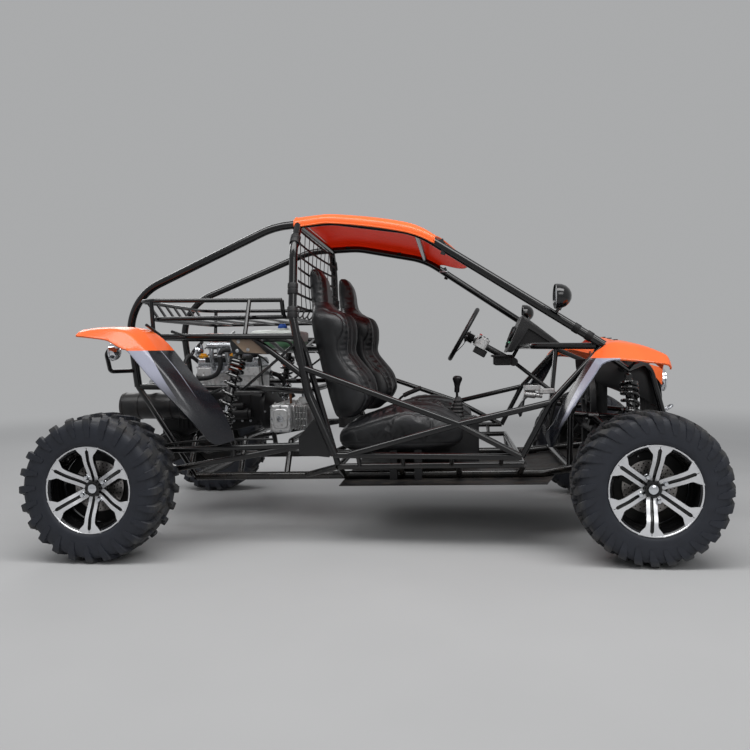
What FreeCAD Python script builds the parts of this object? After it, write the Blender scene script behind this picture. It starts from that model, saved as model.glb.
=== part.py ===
import FreeCAD, Part
import math
import os
import Sketcher
from FreeCAD import Placement, Rotation, Vector

# Two-seat dune buggy: a welded tube frame that carries the engine behind the seats, four
# independently hung wheels, bolt-on panels and two bucket seats.
# Frame of the part: +X forwards, +Y to the left-hand side, +Z up, origin on the ground, on the
# centre line, half way between the axles. Millimetres.

doc = FreeCAD.newDocument("dune_buggy")
sheet = doc.addObject("Spreadsheet::Sheet", "Sizes")

# ---------------------------------------------------------------------------------------------
# Driving dimensions: alias, value, meaning
# ---------------------------------------------------------------------------------------------
SIZES = [
    ("wheelbase", 2412, "rear axle to front axle"),
    ("tyre_radius", 325, "outside radius of all four tyres"),
    ("rear_wheel_y", 840, "centre line to middle of a rear tyre"),
    ("front_wheel_y", 790, "centre line to middle of a front tyre"),
    ("rear_tyre_width", 280, "section width of a rear tyre"),
    ("front_tyre_width", 229, "section width of a front tyre"),
    ("bead_radius", 177.8, "radius of the rim where the bead sits"),
    ("lip_radius", 192.5, "outside radius of the rim lip"),
    ("lip_width", 9, "thickness of the rim lip"),
    ("barrel_wall", 6, "thickness of the rim barrel"),
    ("spoke_depth", 26, "thickness of the spokes along the axle"),
    ("spoke_width", 40, "width of a spoke"),
    ("spoke_inset", 12, "outer rim edge to the spoke faces"),
    ("hub_radius", 62, "radius of the wheel centre"),
    ("hub_length", 74, "length of the hub behind the spokes"),
    ("hub_shell_radius", 34, "outside radius of the hub behind the spokes"),
    ("spindle_radius", 20, "radius of the stub axles"),
    ("bearing_clearance", 0.05, "radial running clearance on the stub axles"),
    ("disc_radius", 116, "radius of the brake discs"),
    ("disc_thickness", 5, "thickness of the brake discs"),
    ("caliper_clearance", 5.5, "brake disc to caliper"),
    ("caliper_length", 62, "brake caliper along the disc's edge"),
    ("caliper_height", 58, "brake caliper along the disc's radius"),
    ("caliper_bite", 40, "how far a caliper reaches in over its disc"),
    ("caliper_wall", 15, "thickness of a caliper beside its slot"),
    ("running_gap", 6, "clear space between turning and fixed pieces"),
    ("seat_gap", 0.3, "clearance between pieces that rest on each other"),
    ("weld_gap", 0.3, "coped tube end to the tube it meets"),
    ("main_tube", 19.5, "radius of the main frame tubes"),
    ("side_tube", 14.5, "radius of the side and engine bay tubes"),
    ("rack_tube", 10.5, "radius of the cargo rack tubes"),
    ("slat_tube", 7, "radius of the thin slats and braces"),
    ("main_bend", 160, "bend radius of the main tubes"),
    ("roof_bend", 420, "bend radius of the roof rails"),
    ("side_bend", 70, "bend radius of the thin tubes"),
    ("plate", 5, "thickness of gussets and brackets"),
    ("panel", 4, "thickness of moulded panels"),
    ("floor_sheet", 3, "thickness of the floor sheet"),
    ("kingpin_y", 650, "centre line to a kingpin"),
    ("kingpin_radius", 14, "radius of the kingpin bosses"),
    ("knuckle_half_height", 84, "axle to the end of the upright"),
    ("ball_joint_gap", 0.6, "upright to the ball joint housing"),
    ("ball_joint_radius", 19, "radius of a ball joint housing"),
    ("steering_arm_back", 112, "kingpin to the tie rod end, rearwards"),
    ("steering_arm_in", 24, "kingpin to the tie rod end, inwards"),
    ("tie_rod_radius", 9, "radius of a tie rod"),
    ("rack_radius", 20, "radius of the steering rack housing"),
    ("coil_radius", 38, "middle radius of the spring coils"),
    ("coil_wire", 5.5, "radius of the spring wire"),
    ("damper_radius", 24, "radius of the damper bodies"),
    ("damper_rod_radius", 9, "radius of the damper rods"),
    ("coil_count", 10, "turns of a suspension spring"),
    ("engine_length", 385, "engine block along X"),
    ("engine_width", 430, "engine block along Y"),
    ("engine_height", 380, "engine block along Z"),
    ("engine_bottom", 492, "underside of the engine block"),
    ("engine_back", -1018, "rear face of the engine block"),
    ("gearbox_length", 250, "gearbox along X"),
    ("gearbox_width", 420, "gearbox along Y"),
    ("gearbox_height", 168, "gearbox along Z"),
    ("gearbox_bottom", 474, "underside of the gearbox"),
    ("casing_edge", 14, "corner radius of the castings"),
    ("final_drive_radius", 86, "radius of the final drive casing"),
    ("final_drive_width", 210, "final drive casing along Y"),
    ("muffler_radius", 72, "radius of the muffler"),
    ("muffler_length", 350, "length of the muffler's drum"),
    ("muffler_back", -1383, "rear face of the muffler"),
    ("muffler_y", -215, "centre line to the muffler axis"),
    ("muffler_height", 638, "ground to the muffler axis"),
    ("tank_length", 250, "fuel tank along X"),
    ("tank_width", 420, "fuel tank along Y"),
    ("tank_height", 104, "fuel tank along Z"),
    ("tank_bottom", 933, "underside of the fuel tank"),
    ("tank_back", -690, "rear face of the fuel tank"),
    ("seat_width", 480, "width of a seat"),
    ("seat_parting", 64, "space between the two seats"),
    ("seat_y", "=(seat_parting + seat_width) / 2", "centre line to the middle of a seat"),
    ("seat_top", 606, "ground to the top of a seat cushion"),
    ("seat_base", 436, "ground to the underside of a seat cushion"),
    ("seat_lead", 62, "the driver's seat stands this far ahead of the other"),
    ("eye_tube", 15, "radius of the shock absorbers' eyes"),
    ("ball_joint_height", 44, "height of a ball joint housing"),
    ("wheel_rim_radius", 160, "radius of the steering wheel's rim"),
    ("wheel_grip_radius", 13.5, "radius of the steering wheel's grip"),
    ("column_radius", 11, "radius of the steering column"),
    ("pod_inner_y", 150, "centre line to the inner end of the instrument pod"),
    ("pod_outer_y", 420, "centre line to the outer end of the instrument pod"),
    ("pod_edge", 6, "bend back along the pod's lower edges"),
    ("pod_wall", 33.4, "instrument pod along X, from its face to the dash tube"),
    ("pod_lip", 15, "thickness of the pod's front edge"),
    ("mirror_width", 150, "width of a mirror head"),
    ("mirror_height", 112, "height of a mirror head"),
    ("lamp_radius", 44, "radius of a tail lamp"),
    ("head_lamp_radius", 58, "radius of a head lamp"),
    ("eye_bore", 13, "radius of the towing eye's hole"),
    ("eye_thickness", 16, "thickness of a towing eye"),
    ("eye_radius", 30, "outside radius of a towing eye"),
]

# Places on the left-hand side: name, datum, forward of the datum, out from the centre line, up.
# The datum is the rear axle, the middle of the wheelbase or the front axle.
PLACES = [
    ("pillar_base", "front", -169, 700, 929),
    ("screen_bend", "mid", 215, 570, 1470),
    ("roof_peak", "mid", -190, 500, 1540),
    ("stay_start", "mid", -480, 463, 1526),
    ("stay_bend", "rear", -74, 380, 1190),
    ("post_foot", "rear", -18, 380, 748),
    ("cradle_foot", "rear", 292, 380, 320),
    ("hoop_root", "mid", -355, 486, 1528),
    ("hoop_shoulder", "mid", -357, 596, 1400),
    ("hoop_waist", "mid", -357, 645, 1083),
    ("hoop_knee", "mid", -288, 650, 720),
    ("hoop_foot", "mid", -166, 655, 438),
    ("inner_leg_top", "mid", -346, 642, 1010),
    ("inner_leg_bend", "mid", -312, 598, 930),
    ("inner_leg_foot", "mid", -160, 600, 385),
    ("front_elbow", "front", -400, 715, 680),
    ("leg_foot", "front", -526, 715, 440),
    ("low_rear", "rear", 290, 400, 292),
    ("low_front", "front", -400, 400, 318),
    ("nose_low", "front", 200, 300, 404),
    ("second_rear", "mid", -160, 600, 376),
    ("second_front", "front", -510, 620, 392),
    ("bar_top", "mid", -308, 650, 842),
    ("bar_cross", "mid", 403, 735, 587),
    ("bar_rear", "mid", -101, 660, 441),
    ("bay_rear", "rear", -52, 383, 1003),
    ("bay_corner", "rear", 150, 500, 999),
    ("bay_front", "mid", -343, 645, 988),
    ("mid_corner", "rear", 640, 440, 738),
    ("mid_front", "mid", -291, 650, 734),
    ("diag_top", "mid", -570, 573, 991),
    ("diag_foot", "mid", -303, 649, 800),
    ("brace_low", "mid", -625, 540, 742),
    ("brace_high", "mid", -352, 640, 950),
    ("dash_root", "front", -195, 690, 926),
    ("dash_corner", "front", -452, 470, 930),
    ("front_post_top", "front", -190, 680, 915),
    ("front_post_mid", "front", -262, 372, 600),
    ("front_post_foot", "front", -268, 372, 345),
    ("nose_mid", "front", 200, 285, 560),
    ("nose_top", "front", 128, 262, 850),
    ("tower_top", "front", 0, 400, 812),
    ("rack_top", "rear", 30, 500, 1178),
    ("rack_low", "rear", 90, 470, 1088),
    ("rack_front", "mid", -440, 500, 1168),
    ("rear_fender_low", "rear", 449, 846, 714),
    ("tail_loop", "rear", -99, 520, 831),
    ("tail_lamp", "rear", -44, 600, 927),
    ("trail_pivot", "mid", -305, 604, 478),
    ("trail_high", "rear", 60, 640, 452),
    ("trail_low", "rear", 60, 640, 330),
    ("rear_shock_top", "mid", -642, 540, 922),
    ("final_drive", "rear", 20, 0, 400),
    ("dash_top", "front", -442, 300, 1088),
    ("dash_front", "front", -226, 300, 936),
    ("dash_foot", "front", -524, 300, 905),
    ("wheel_centre", "front", -764, 300, 1005),
    ("column_joint", "front", -481, 300, 843),
    ("column_foot", "front", -235, 130, 640),
    ("lever_foot", "mid", 404, 0, 560),
    ("lever_knob", "mid", 398, 0, 752),
    ("mirror", "front", -352, 700, 1142),
    ("head_lamp", "front", 224, 150, 752),
    ("tow_eye", "front", 262, 0, 560),
    ("rear_eye", "rear", -92, 0, 748),
]

row = 1
for alias, value, meaning in SIZES:
    sheet.set("A%d" % row, meaning)
    sheet.set("B%d" % row, str(value))
    sheet.setAlias("B%d" % row, alias)
    row += 1
DATUMS = {}
for name, datum, forward, out, up in PLACES:
    DATUMS[name] = datum
    sheet.set("A%d" % row, name + " from " + datum)
    for column, axis, value in (("B", "x", forward), ("C", "y", out), ("D", "z", up)):
        sheet.set("%s%d" % (column, row), str(value))
        sheet.setAlias("%s%d" % (column, row), "%s_%s" % (name, axis))
    row += 1
doc.recompute()

LEFT, RIGHT = 1, -1
nodes = []


def size(alias):
    """Value of one cell of the sheet."""
    return float(getattr(sheet, alias))


AXLE = {"rear": -size("wheelbase") / 2, "mid": 0.0, "front": size("wheelbase") / 2}


def at(name, side=LEFT, dx=0, dy=0, dz=0):
    """A named place on one side, moved by dx, dy (outwards) and dz."""
    x = AXLE[DATUMS[name]] + size(name + "_x") + dx
    y = size(name + "_y") + dy
    return Vector(x, side * y, size(name + "_z") + dz)


def between(a, b, share):
    """The point at a share of the way from a to b."""
    return a + (b - a) * share


def feature(label, shape, placement=None):
    """A node whose shape is made with Part's own functions."""
    node = doc.addObject("Part::Feature", label)
    node.Label = label
    node.Shape = shape
    node.Placement = placement or Placement()
    nodes.append(node)
    return node


# ---------------------------------------------------------------------------------------------
# Solids made of tubes, rods and plates
# ---------------------------------------------------------------------------------------------
def rounded_path(points, bend):
    """Straight runs joined by tangent arcs of radius bend, or less where the runs are short."""
    edges = []
    start = points[0]
    for before, corner, after in zip(points, points[1:], points[2:]):
        back = (before - corner)
        ahead = (after - corner)
        run = 0.45 * min(back.Length, ahead.Length)
        back.normalize()
        ahead.normalize()
        turn = math.pi - back.getAngle(ahead)
        if turn < math.radians(0.5):
            continue
        tangent = min(bend * math.tan(turn / 2), run)
        radius = tangent / math.tan(turn / 2)
        inwards = (back + ahead).normalize()
        centre = corner + inwards * (radius / math.cos(turn / 2))
        first = corner + back * tangent
        last = corner + ahead * tangent
        middle = centre - inwards * radius
        edges.append(Part.LineSegment(start, first).toShape())
        edges.append(Part.Arc(first, middle, last).toShape())
        start = last
    edges.append(Part.LineSegment(start, points[-1]).toShape())
    return Part.Wire(edges)


def tube(points, radius, bend=100.0):
    """A round bar that follows the points."""
    if len(points) == 2:
        run = points[1] - points[0]
        return Part.makeCylinder(radius, run.Length, points[0], run)
    path = rounded_path(points, bend)
    run = points[1] - points[0]
    ring = Part.Wire(Part.makeCircle(radius, points[0], run))
    return path.makePipeShell([ring], True, False)


def mirrored(shape):
    """The same shape on the right-hand side."""
    return shape.mirror(Vector(0, 0, 0), Vector(0, 1, 0))


def near(a, b, gap=1.0):
    box = FreeCAD.BoundBox(a.BoundBox)
    box.enlarge(gap)
    return box.intersect(b.BoundBox)


def pieces(shape, smallest=400.0):
    """The solids of a shape, without the slivers that coping leaves."""
    return [s for s in shape.Solids if s.Volume > smallest]


def plate(corners, thickness, towards):
    """A flat polygon made thick along a direction."""
    face = Part.Face(Part.makePolygon(corners + [corners[0]]))
    way = Vector(towards).normalize() * thickness
    return face.extrude(way)


def triangle(a, b, c):
    return Part.Face(Part.makePolygon([a, b, c, a]))


def skin(sections):
    """A closed solid of flat facets; an outline is its outer points, then its inner ones backwards.

    Each outer quad is split along its shorter diagonal, and the inner quad behind it alike.
    """
    count = len(sections[0])
    corners = []
    for one, two in zip(sections, sections[1:]):
        for index in range(count):
            after = (index + 1) % count
            quad = (one[index], one[after], two[after], two[index])
            cell = min(index, count - 2 - index)
            first_way = (one[cell] - two[cell + 1]).Length
            second_way = (one[cell + 1] - two[cell]).Length
            inside = index >= count // 2
            if (first_way > second_way) != inside:
                quad = quad[1:] + quad[:1]
            corners.append(quad)
    for end in (sections[0], sections[-1]):
        for index in range(count // 2 - 1):
            corners.append((end[index], end[index + 1], end[count - 2 - index],
                            end[count - 1 - index]))
    faces = []
    for first, second, third, fourth in corners:
        faces.append(triangle(first, second, third))
        faces.append(triangle(first, third, fourth))
    shell = Part.makeShell(faces)
    shell.sewShape()
    solid = Part.makeSolid(shell)
    if solid.Volume < 0:
        solid.reverse()
    return solid


def moulded(stations, thickness, outwards=Vector(0, 0, 1)):
    """A sheet through a grid of outer points, made thick to the side away from outwards."""
    last = len(stations) - 1
    end = len(stations[0]) - 1
    normals = []
    for i in range(last + 1):
        row_normals = []
        for j in range(end + 1):
            along = stations[min(i + 1, last)][j] - stations[max(i - 1, 0)][j]
            across = stations[i][min(j + 1, end)] - stations[i][max(j - 1, 0)]
            row_normals.append(along.cross(across).normalize())
        normals.append(row_normals)
    total = Vector(0, 0, 0)
    for row_normals in normals:
        for normal in row_normals:
            total = total + normal
    way = -thickness if total.dot(outwards) > 0 else thickness
    sections = []
    for points, row_normals in zip(stations, normals):
        inner = [point + normal * way for point, normal in zip(points, row_normals)]
        sections.append(list(points) + inner[::-1])
    return skin(sections)


def strip(top, depth):
    """A closed outline: the points of top, then the same points moved by depth, backwards."""
    return list(top) + [point + depth for point in reversed(top)]


MAIN = size("main_tube")
SIDE = size("side_tube")
RACK = size("rack_tube")
SLAT = size("slat_tube")

# Tubes in the order in which they stay whole: a later one is coped to all earlier ones.
# node, sides, radius, bend, places. "both" is made on the left and mirrored; "across" runs from
# the left places to the same places on the right.
TUBES = [
    ("roof_rails", "both", "main_tube", "roof_bend",
     ["pillar_base", "screen_bend", "roof_peak", "stay_start", "stay_bend", "post_foot"]),
    ("main_hoop", "both", "main_tube", "main_bend",
     ["hoop_root", "hoop_shoulder", "hoop_waist", "hoop_knee", "hoop_foot"]),
    ("lower_frame", "both", "main_tube", "main_bend",
     ["low_rear", "low_front", "nose_low"]),
    ("front_frame", "both", "side_tube", "side_bend",
     ["pillar_base", "front_elbow", "leg_foot"]),
    ("side_bars", "both", "side_tube", "side_bend",
     ["hoop_foot", "leg_foot"]),
    ("side_bars", "both", "side_tube", "side_bend",
     ["bar_top", "bar_cross", "leg_foot"]),
    ("side_bars", "both", "side_tube", "side_bend",
     ["bar_rear", "bar_cross", "front_elbow"]),
    ("main_hoop", "both", "side_tube", "side_bend",
     ["inner_leg_top", "inner_leg_bend", "inner_leg_foot"]),
    ("lower_frame", "both", "side_tube", "side_bend",
     ["second_rear", "second_front"]),
    ("engine_frame", "both", "side_tube", "main_bend",
     ["bay_rear", "bay_corner", "bay_front"]),
    ("engine_frame", "both", "side_tube", "main_bend",
     ["post_foot", "mid_corner", "mid_front"]),
    ("engine_frame", "both", "side_tube", "side_bend",
     ["diag_top", "diag_foot"]),
    ("engine_frame", "both", "side_tube", "side_bend",
     ["post_foot", "low_rear"]),
    ("engine_frame", "both", "slat_tube", "side_bend",
     ["brace_low", "brace_high"]),
    ("front_frame", "both", "side_tube", "side_bend",
     ["front_post_foot", "front_post_mid", "front_post_top"]),
    ("front_frame", "both", "side_tube", "side_bend",
     ["front_post_mid", "nose_mid"]),
    ("front_frame", "both", "side_tube", "side_bend",
     ["nose_low", "nose_mid", "nose_top", "tower_top", "front_post_top"]),
    ("front_frame", "across", "side_tube", "side_bend",
     ["dash_root", "dash_corner"]),
]

# Straight cross tubes: node, radius, place.
CROSS_TUBES = [
    ("main_hoop", "main_tube", "hoop_root"),
    ("main_hoop", "side_tube", "inner_leg_bend"),
    ("roof_rails", "side_tube", "screen_bend"),
    ("lower_frame", "main_tube", "low_rear"),
    ("lower_frame", "side_tube", "second_rear"),
    ("lower_frame", "side_tube", "second_front"),
    ("lower_frame", "main_tube", "front_post_foot"),
    ("engine_frame", "side_tube", "post_foot"),
    ("engine_frame", "side_tube", "bay_rear"),
    ("engine_frame", "side_tube", "mid_front"),
    ("front_frame", "side_tube", "nose_low"),
    ("front_frame", "side_tube", "nose_mid"),
    ("front_frame", "side_tube", "nose_top"),
    ("front_frame", "side_tube", "tower_top"),
]

frame = {}      # node name: its finished solids
whole = []      # enlarged solids that later tubes are coped to


def cope(shape):
    """A tube cut back to the tubes that are already there."""
    for other in whole:
        if near(shape, other):
            shape = shape.cut(other)
    return shape


def keep(node, shape, fat):
    """File a finished tube under its node, with the enlarged solid that others are cut by."""
    frame.setdefault(node, []).extend(pieces(shape))
    whole.append(fat)


def add_tube(node, sides, points, radius, bend):
    gap = size("weld_gap")
    if sides == "across":
        ends = [Vector(p.x, -p.y, p.z) for p in reversed(points)]
        points = points + ends
    fat = tube(points, radius + gap, bend)
    shape = cope(tube(points, radius, bend))
    keep(node, shape, fat)
    if sides == "both":
        keep(node, mirrored(shape), mirrored(fat))


for node, sides, radius, bend, route in TUBES:
    add_tube(node, sides, [at(place) for place in route], size(radius), size(bend))
for node, radius, place in CROSS_TUBES:
    add_tube(node, "one", [at(place, LEFT), at(place, RIGHT)], size(radius), size("side_bend"))


# Short posts between sill and second rail, and outriggers from the bottom rail to the sides.
def on_line(a, b, x):
    """The point of the line a-b at a station x."""
    return between(a, b, (x - a.x) / (b.x - a.x))


sill = (at("hoop_foot"), at("leg_foot"))
second = (at("second_rear"), at("second_front"))
bottom = (at("low_rear"), at("low_front"))
for share in (0.12, 0.36, 0.62, 0.88):
    x = between(*second, share).x
    add_tube("lower_frame", "both", [on_line(*sill, x), on_line(*second, x)], RACK, SIDE)
for share in (0.0, 0.34, 0.66, 1.0):
    foot = between(*second, share)
    add_tube("lower_frame", "both", [on_line(*bottom, foot.x), foot], SIDE, SIDE)
    if 0 < share < 1:
        rail = on_line(*bottom, foot.x)
        add_tube("lower_frame", "one", [rail, Vector(rail.x, -rail.y, rail.z)], SIDE, SIDE)
belly = on_line(*bottom, at("hoop_waist").x)
add_tube("lower_frame", "both", [at("second_rear"), belly], SIDE, SIDE)


# Cargo rack: a bent top rail, the tray below it, its posts and slats.
def cargo_rack():
    high = at("rack_top")
    front = at("rack_front")
    low = at("rack_low")
    low_front = Vector(front.x, low.y, low.z)
    add_tube("rack_rail", "across", [front, high], RACK, size("side_bend") * 1.6)
    add_tube("rack_hoop", "across", [front, low_front], RACK, size("side_bend"))
    add_tube("rack_base", "across", [low_front, low], RACK, size("side_bend"))
    bay = (at("bay_corner"), at("bay_front"))
    for x in (high.x + 80, front.x - 160):
        foot = Vector(x, bay[0].y, bay[0].z)
        if x > bay[0].x:
            foot = on_line(*bay, x)
        else:
            foot = on_line(at("bay_rear"), bay[0], x)
        add_tube("cargo_rack", "both", [on_line(front, high, x), foot], RACK, SIDE)
    for share in (0.2, 0.4, 0.6, 0.8):
        a = between(low, low_front, share)
        add_tube("cargo_rack", "one", [a, Vector(a.x, -a.y, a.z)], SLAT, SIDE)
    for share in (-0.75, -0.5, -0.25, 0, 0.25, 0.5, 0.75):
        y = share * low.y
        add_tube("cargo_rack", "one",
                 [Vector(high.x, y, high.z), Vector(low.x, y, low.z)], SLAT, SIDE)


cargo_rack()


# Tail lamp brackets, bent back from the rear posts.
def tail_brackets():
    post = at("post_foot", LEFT, -14, 0, 83)
    loop = at("tail_loop")
    lamp = at("tail_lamp", LEFT, -36, 0, 0)
    add_tube("engine_frame", "both", [post, loop, lamp, at("tail_lamp", LEFT, 40, -40, 60)],
             RACK, size("side_bend") / 2)


tail_brackets()


def add_plate(node, corners):
    """A gusset of one side and its mirror image; its corners share one y."""
    shape = cope(plate(corners, size("plate"), Vector(0, 1, 0)))
    frame[node].extend(pieces(shape))
    frame[node].extend(pieces(mirrored(shape)))


def shock_gusset_y():
    """Inner face of the plate that carries a rear shock absorber."""
    return at("diag_top").y


def gussets():
    """Plates where rail and diagonal meet, and both sides of the trailing arm pivots."""
    top = at("diag_top")
    rail = (at("bay_corner"), at("bay_front"))
    back = on_line(*rail, top.x - 112)
    low = between(top, at("diag_foot"), 0.4)
    y = shock_gusset_y()
    add_plate("engine_frame", [
        Vector(back.x, y, back.z - SIDE), Vector(top.x, y, top.z - SIDE),
        Vector(low.x - 14, y, low.z - 8), Vector(back.x + 18, y, back.z - 84)])
    pivot = at("trail_pivot")
    knee = between(at("hoop_knee"), at("hoop_foot"), 0.35)
    foot = at("hoop_foot")
    reach = TRAIL_BUSH / 2 + size("seat_gap")
    for y in (pivot.y + reach, pivot.y - reach - size("plate")):
        add_plate("engine_frame", [
            Vector(knee.x - 6, y, knee.z), Vector(foot.x - 6, y, foot.z + 18),
            Vector(foot.x - 30, y, foot.z - 14), Vector(pivot.x - 34, y, pivot.z - 40),
            Vector(pivot.x - 34, y, pivot.z + 40)])


def carriers():
    """Bent cross tubes that the tank, the engine and the gearbox rest on."""
    gap = size("seat_gap")
    for share in (0.28, 0.78):
        x = size("tank_back") + share * size("tank_length")
        low = Vector(x, size("tank_width") / 2 + 44, size("tank_bottom") - RACK - gap)
        add_tube("engine_frame", "across", [on_line(at("bay_corner"), at("bay_front"), x), low],
                 RACK, SIDE)
    gearbox_back = size("engine_back") + size("engine_length")
    for x, height in ((size("engine_back") + 60, "engine_bottom"),
                      (gearbox_back - 60, "engine_bottom"),
                      (gearbox_back + size("gearbox_length") - 70, "gearbox_bottom")):
        high = Vector(x, size("engine_width") / 2 + 70, size(height) - SIDE - gap)
        add_tube("engine_frame", "across", [on_line(*bottom, x), high], SIDE, SIDE)


TRAIL_BUSH = 52.0
carriers()
gussets()


def clear_of_frame(shape):
    """A panel or casting cut back from every frame tube near it."""
    return Part.makeCompound(pieces(cope(shape)))


# ---------------------------------------------------------------------------------------------
# Moulded panels, symmetrical about the centre line or mirrored
# ---------------------------------------------------------------------------------------------
PANEL = size("panel")


def roof_panel():
    """Bowed canopy that lies on the roof rails, with its front edge bent forwards."""
    rise = MAIN + size("seat_gap")
    sections = []
    for x, half, z, bow, crown in (
            (-372, 478, 1528, -6, 22), (-190, 496, 1542, 0, 30), (0, 532, 1512, 20, 34),
            (160, 562, 1480, 60, 36), (300, 585, 1418, 160, 26)):
        z = z + rise
        top = []
        for share in (1, 0.92, 0.6, 0.25, -0.25, -0.6, -0.92, -1):
            arch = 1 - share * share
            top.append(Vector(x + bow * arch, share * half, z + crown * arch))
        sections.append(top)
    return moulded(sections, PANEL)


def places(stations, dx):
    """Points of a grid given from an axle, as vectors."""
    return [[Vector(x + dx, y, z) for x, y, z in points] for points in stations]


def beside_leg(z):
    """Inner edge of the front wing: against the outside of the front leg at a height."""
    leg = (at("front_elbow"), at("pillar_base"))
    share = (z - leg[0].z) / (leg[1].z - leg[0].z)
    point = between(*leg, share)
    return point + Vector(15, 13, 0)


def front_fender():
    """Wing over a front wheel: a flat top with a raised ridge, then a flap down the leg."""
    top = [
        [(84, 700, 838), (84, 745, 860), (86, 800, 842), (84, 814, 824)],
        [(30, 640, 915), (62, 740, 896), (64, 780, 890), (60, 838, 850)],
        [(-20, 636, 935), (-18, 742, 925), (-16, 772, 915), (-60, 852, 866)],
        [(-110, 655, 952), (-140, 745, 942), (-142, 768, 930), (-150, 858, 872)]]
    flap = [
        [(-196, 748, 918), (-205, 770, 900), (-215, 858, 856)],
        [(-252, 750, 860), (-250, 772, 850), (-256, 857, 780)],
        [(-352, 752, 700), (-346, 774, 694), (-318, 854, 690)]]
    tail = [
        [(-420, 738, 560), (-406, 750, 560), (-398, 772, 560), (-372, 838, 596)],
        [(-412, 736, 484), (-404, 744, 482), (-398, 758, 486), (-386, 790, 520)]]
    x = AXLE["front"]
    stations = places(top, x)
    for points, z in zip(places(flap, x), (908, 852, 700)):
        stations.append([beside_leg(z)] + points)
    return moulded(stations + places(tail, x), PANEL)


def rear_fender():
    """Wing over a rear wheel: a pointed tail, a flat top, then a long flap towards the cabin."""
    x = AXLE["rear"]
    stations = [
        [(-112, 690, 1030), (-114, 740, 1034), (-116, 790, 1020), (-116, 822, 1004)],
        [(20, 640, 1042), (26, 720, 1044), (30, 800, 1034), (34, 842, 985)],
        [(150, 612, 1030), (142, 722, 1036), (128, 812, 1014), (96, 858, 956)],
        [(262, 606, 934), (242, 758, 938), (214, 828, 934), (150, 860, 930)],
        [(364, 640, 822), (352, 758, 820), (318, 830, 810), (250, 860, 812)],
        [(492, 680, 693), (446, 766, 690), (400, 828, 690), (352, 856, 704)],
        [(548, 692, 596), (500, 762, 590), (468, 806, 590), (434, 836, 606)],
        [(578, 694, 508), (536, 748, 498), (512, 774, 498), (494, 790, 512)]]
    return moulded(places(stations, x), PANEL)


def nose_panel():
    """Orange bonnet between the front wings, from the dash to the lamps."""
    x = AXLE["front"]
    sections = []
    for dx, half, z, crown in ((-170, 420, 950, 26), (-60, 400, 938, 26), (70, 330, 900, 22),
                               (168, 250, 838, 16)):
        top = []
        for share in (1, 0.78, 0.3, -0.3, -0.78, -1):
            lift = crown * (1 - share * share)
            top.append(Vector(x + dx, share * half, z + lift))
        sections.append(top)
    return moulded(sections, PANEL)


def nose_lower():
    """Black lower nose: a face that slopes back to the skid plate, and its two cheeks."""
    x = AXLE["front"]
    sections = []
    for dx, half, z in ((196, 238, 812), (222, 236, 740), (232, 225, 660), (222, 240, 520),
                        (210, 250, 440)):
        front = []
        for share, lean in ((1, -46), (0.72, 0), (-0.72, 0), (-1, -46)):
            front.append(Vector(x + dx + lean, share * half, z))
        sections.append(front)
    return moulded(sections, PANEL, Vector(1, 0, 0))


def floor_pan():
    """Sheet under the cabin, with a kick-up in front and a skid plate under the nose."""
    t = size("floor_sheet")
    drop = Vector(0, 0, -t)
    gap = size("seat_gap")
    rear = at("low_rear")
    front = at("low_front")
    nose = at("nose_low")
    sections = []
    for point, half in ((on_line(rear, front, at("second_rear").x), 585), (front, 590),
                        (front + Vector(60, 0, 8), 380), (nose, 296)):
        z = point.z - MAIN - gap
        sections.append(strip([Vector(point.x, half, z), Vector(point.x, -half, z)], drop))
    return skin(sections)


def add_stay(node, foot, tip, panel, radius=SLAT):
    """A bracket rod from a frame tube up to the underside of a panel, on both sides."""
    stay = cope(tube([foot, tip], radius)).cut(panel)
    start = Part.Vertex(foot)
    nearest = min(stay.Solids, key=lambda solid: solid.distToShape(start)[0])
    frame[node].extend([nearest, mirrored(nearest)])


def lamp_holes(shape):
    """Holes for the head lamps and a slot for the towing eye."""
    room = 2 * size("seat_gap")
    for side in (LEFT, RIGHT):
        middle = at("head_lamp", side)
        shape = shape.cut(Part.makeCylinder(size("head_lamp_radius") + room, 200,
                                            middle - Vector(100, 0, 0), Vector(1, 0, 0)))
    eye = at("tow_eye")
    width = size("eye_thickness") + 2 * room
    high = 2 * size("eye_radius") + 2 * room
    slot = Part.makeBox(160, width, high)
    slot.translate(eye - Vector(120, width / 2, high / 2))
    return shape.cut(slot)


def panels():
    """Every panel, with the stays that carry it."""
    roof = clear_of_frame(roof_panel())
    front_wing = clear_of_frame(front_fender())
    rear_wing = clear_of_frame(rear_fender())
    nose = clear_of_frame(nose_panel())
    lower = lamp_holes(clear_of_frame(nose_lower()))
    tower = at("tower_top")
    add_stay("front_frame", tower - Vector(0, 60, 0), tower + Vector(0, -60, 200), nose)
    top = at("nose_top")
    add_stay("front_frame", top - Vector(0, 70, 0), top + Vector(0, -70, 140), nose)
    post = at("front_post_top")
    add_stay("front_frame", tower, tower + Vector(10, 280, 96), front_wing)
    bay = (at("bay_corner"), at("bay_front"))
    for dx, rise in ((16, 52), (150, 20)):
        foot = on_line(*bay, bay[0].x + dx)
        add_stay("engine_frame", foot, foot + Vector(0, 190, rise), rear_wing)
    rail = at("rear_fender_low")
    foot = on_line(at("post_foot"), at("mid_corner"), rail.x)
    add_stay("engine_frame", foot, rail, rear_wing)
    cheek = at("nose_mid", LEFT, 0, -165, 0)
    add_stay("front_frame", cheek, cheek + Vector(80, 0, 0), lower)
    for name, solids in frame.items():
        feature(name, Part.makeCompound(solids))
    feature("roof_panel", roof)
    feature("front_fenders", Part.makeCompound([front_wing, mirrored(front_wing)]))
    feature("rear_fenders", Part.makeCompound([rear_wing, mirrored(rear_wing)]))
    feature("nose_panel", nose)
    feature("nose_lower", lower)
    feature("floor_pan", clear_of_frame(floor_pan()))


panels()


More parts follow.
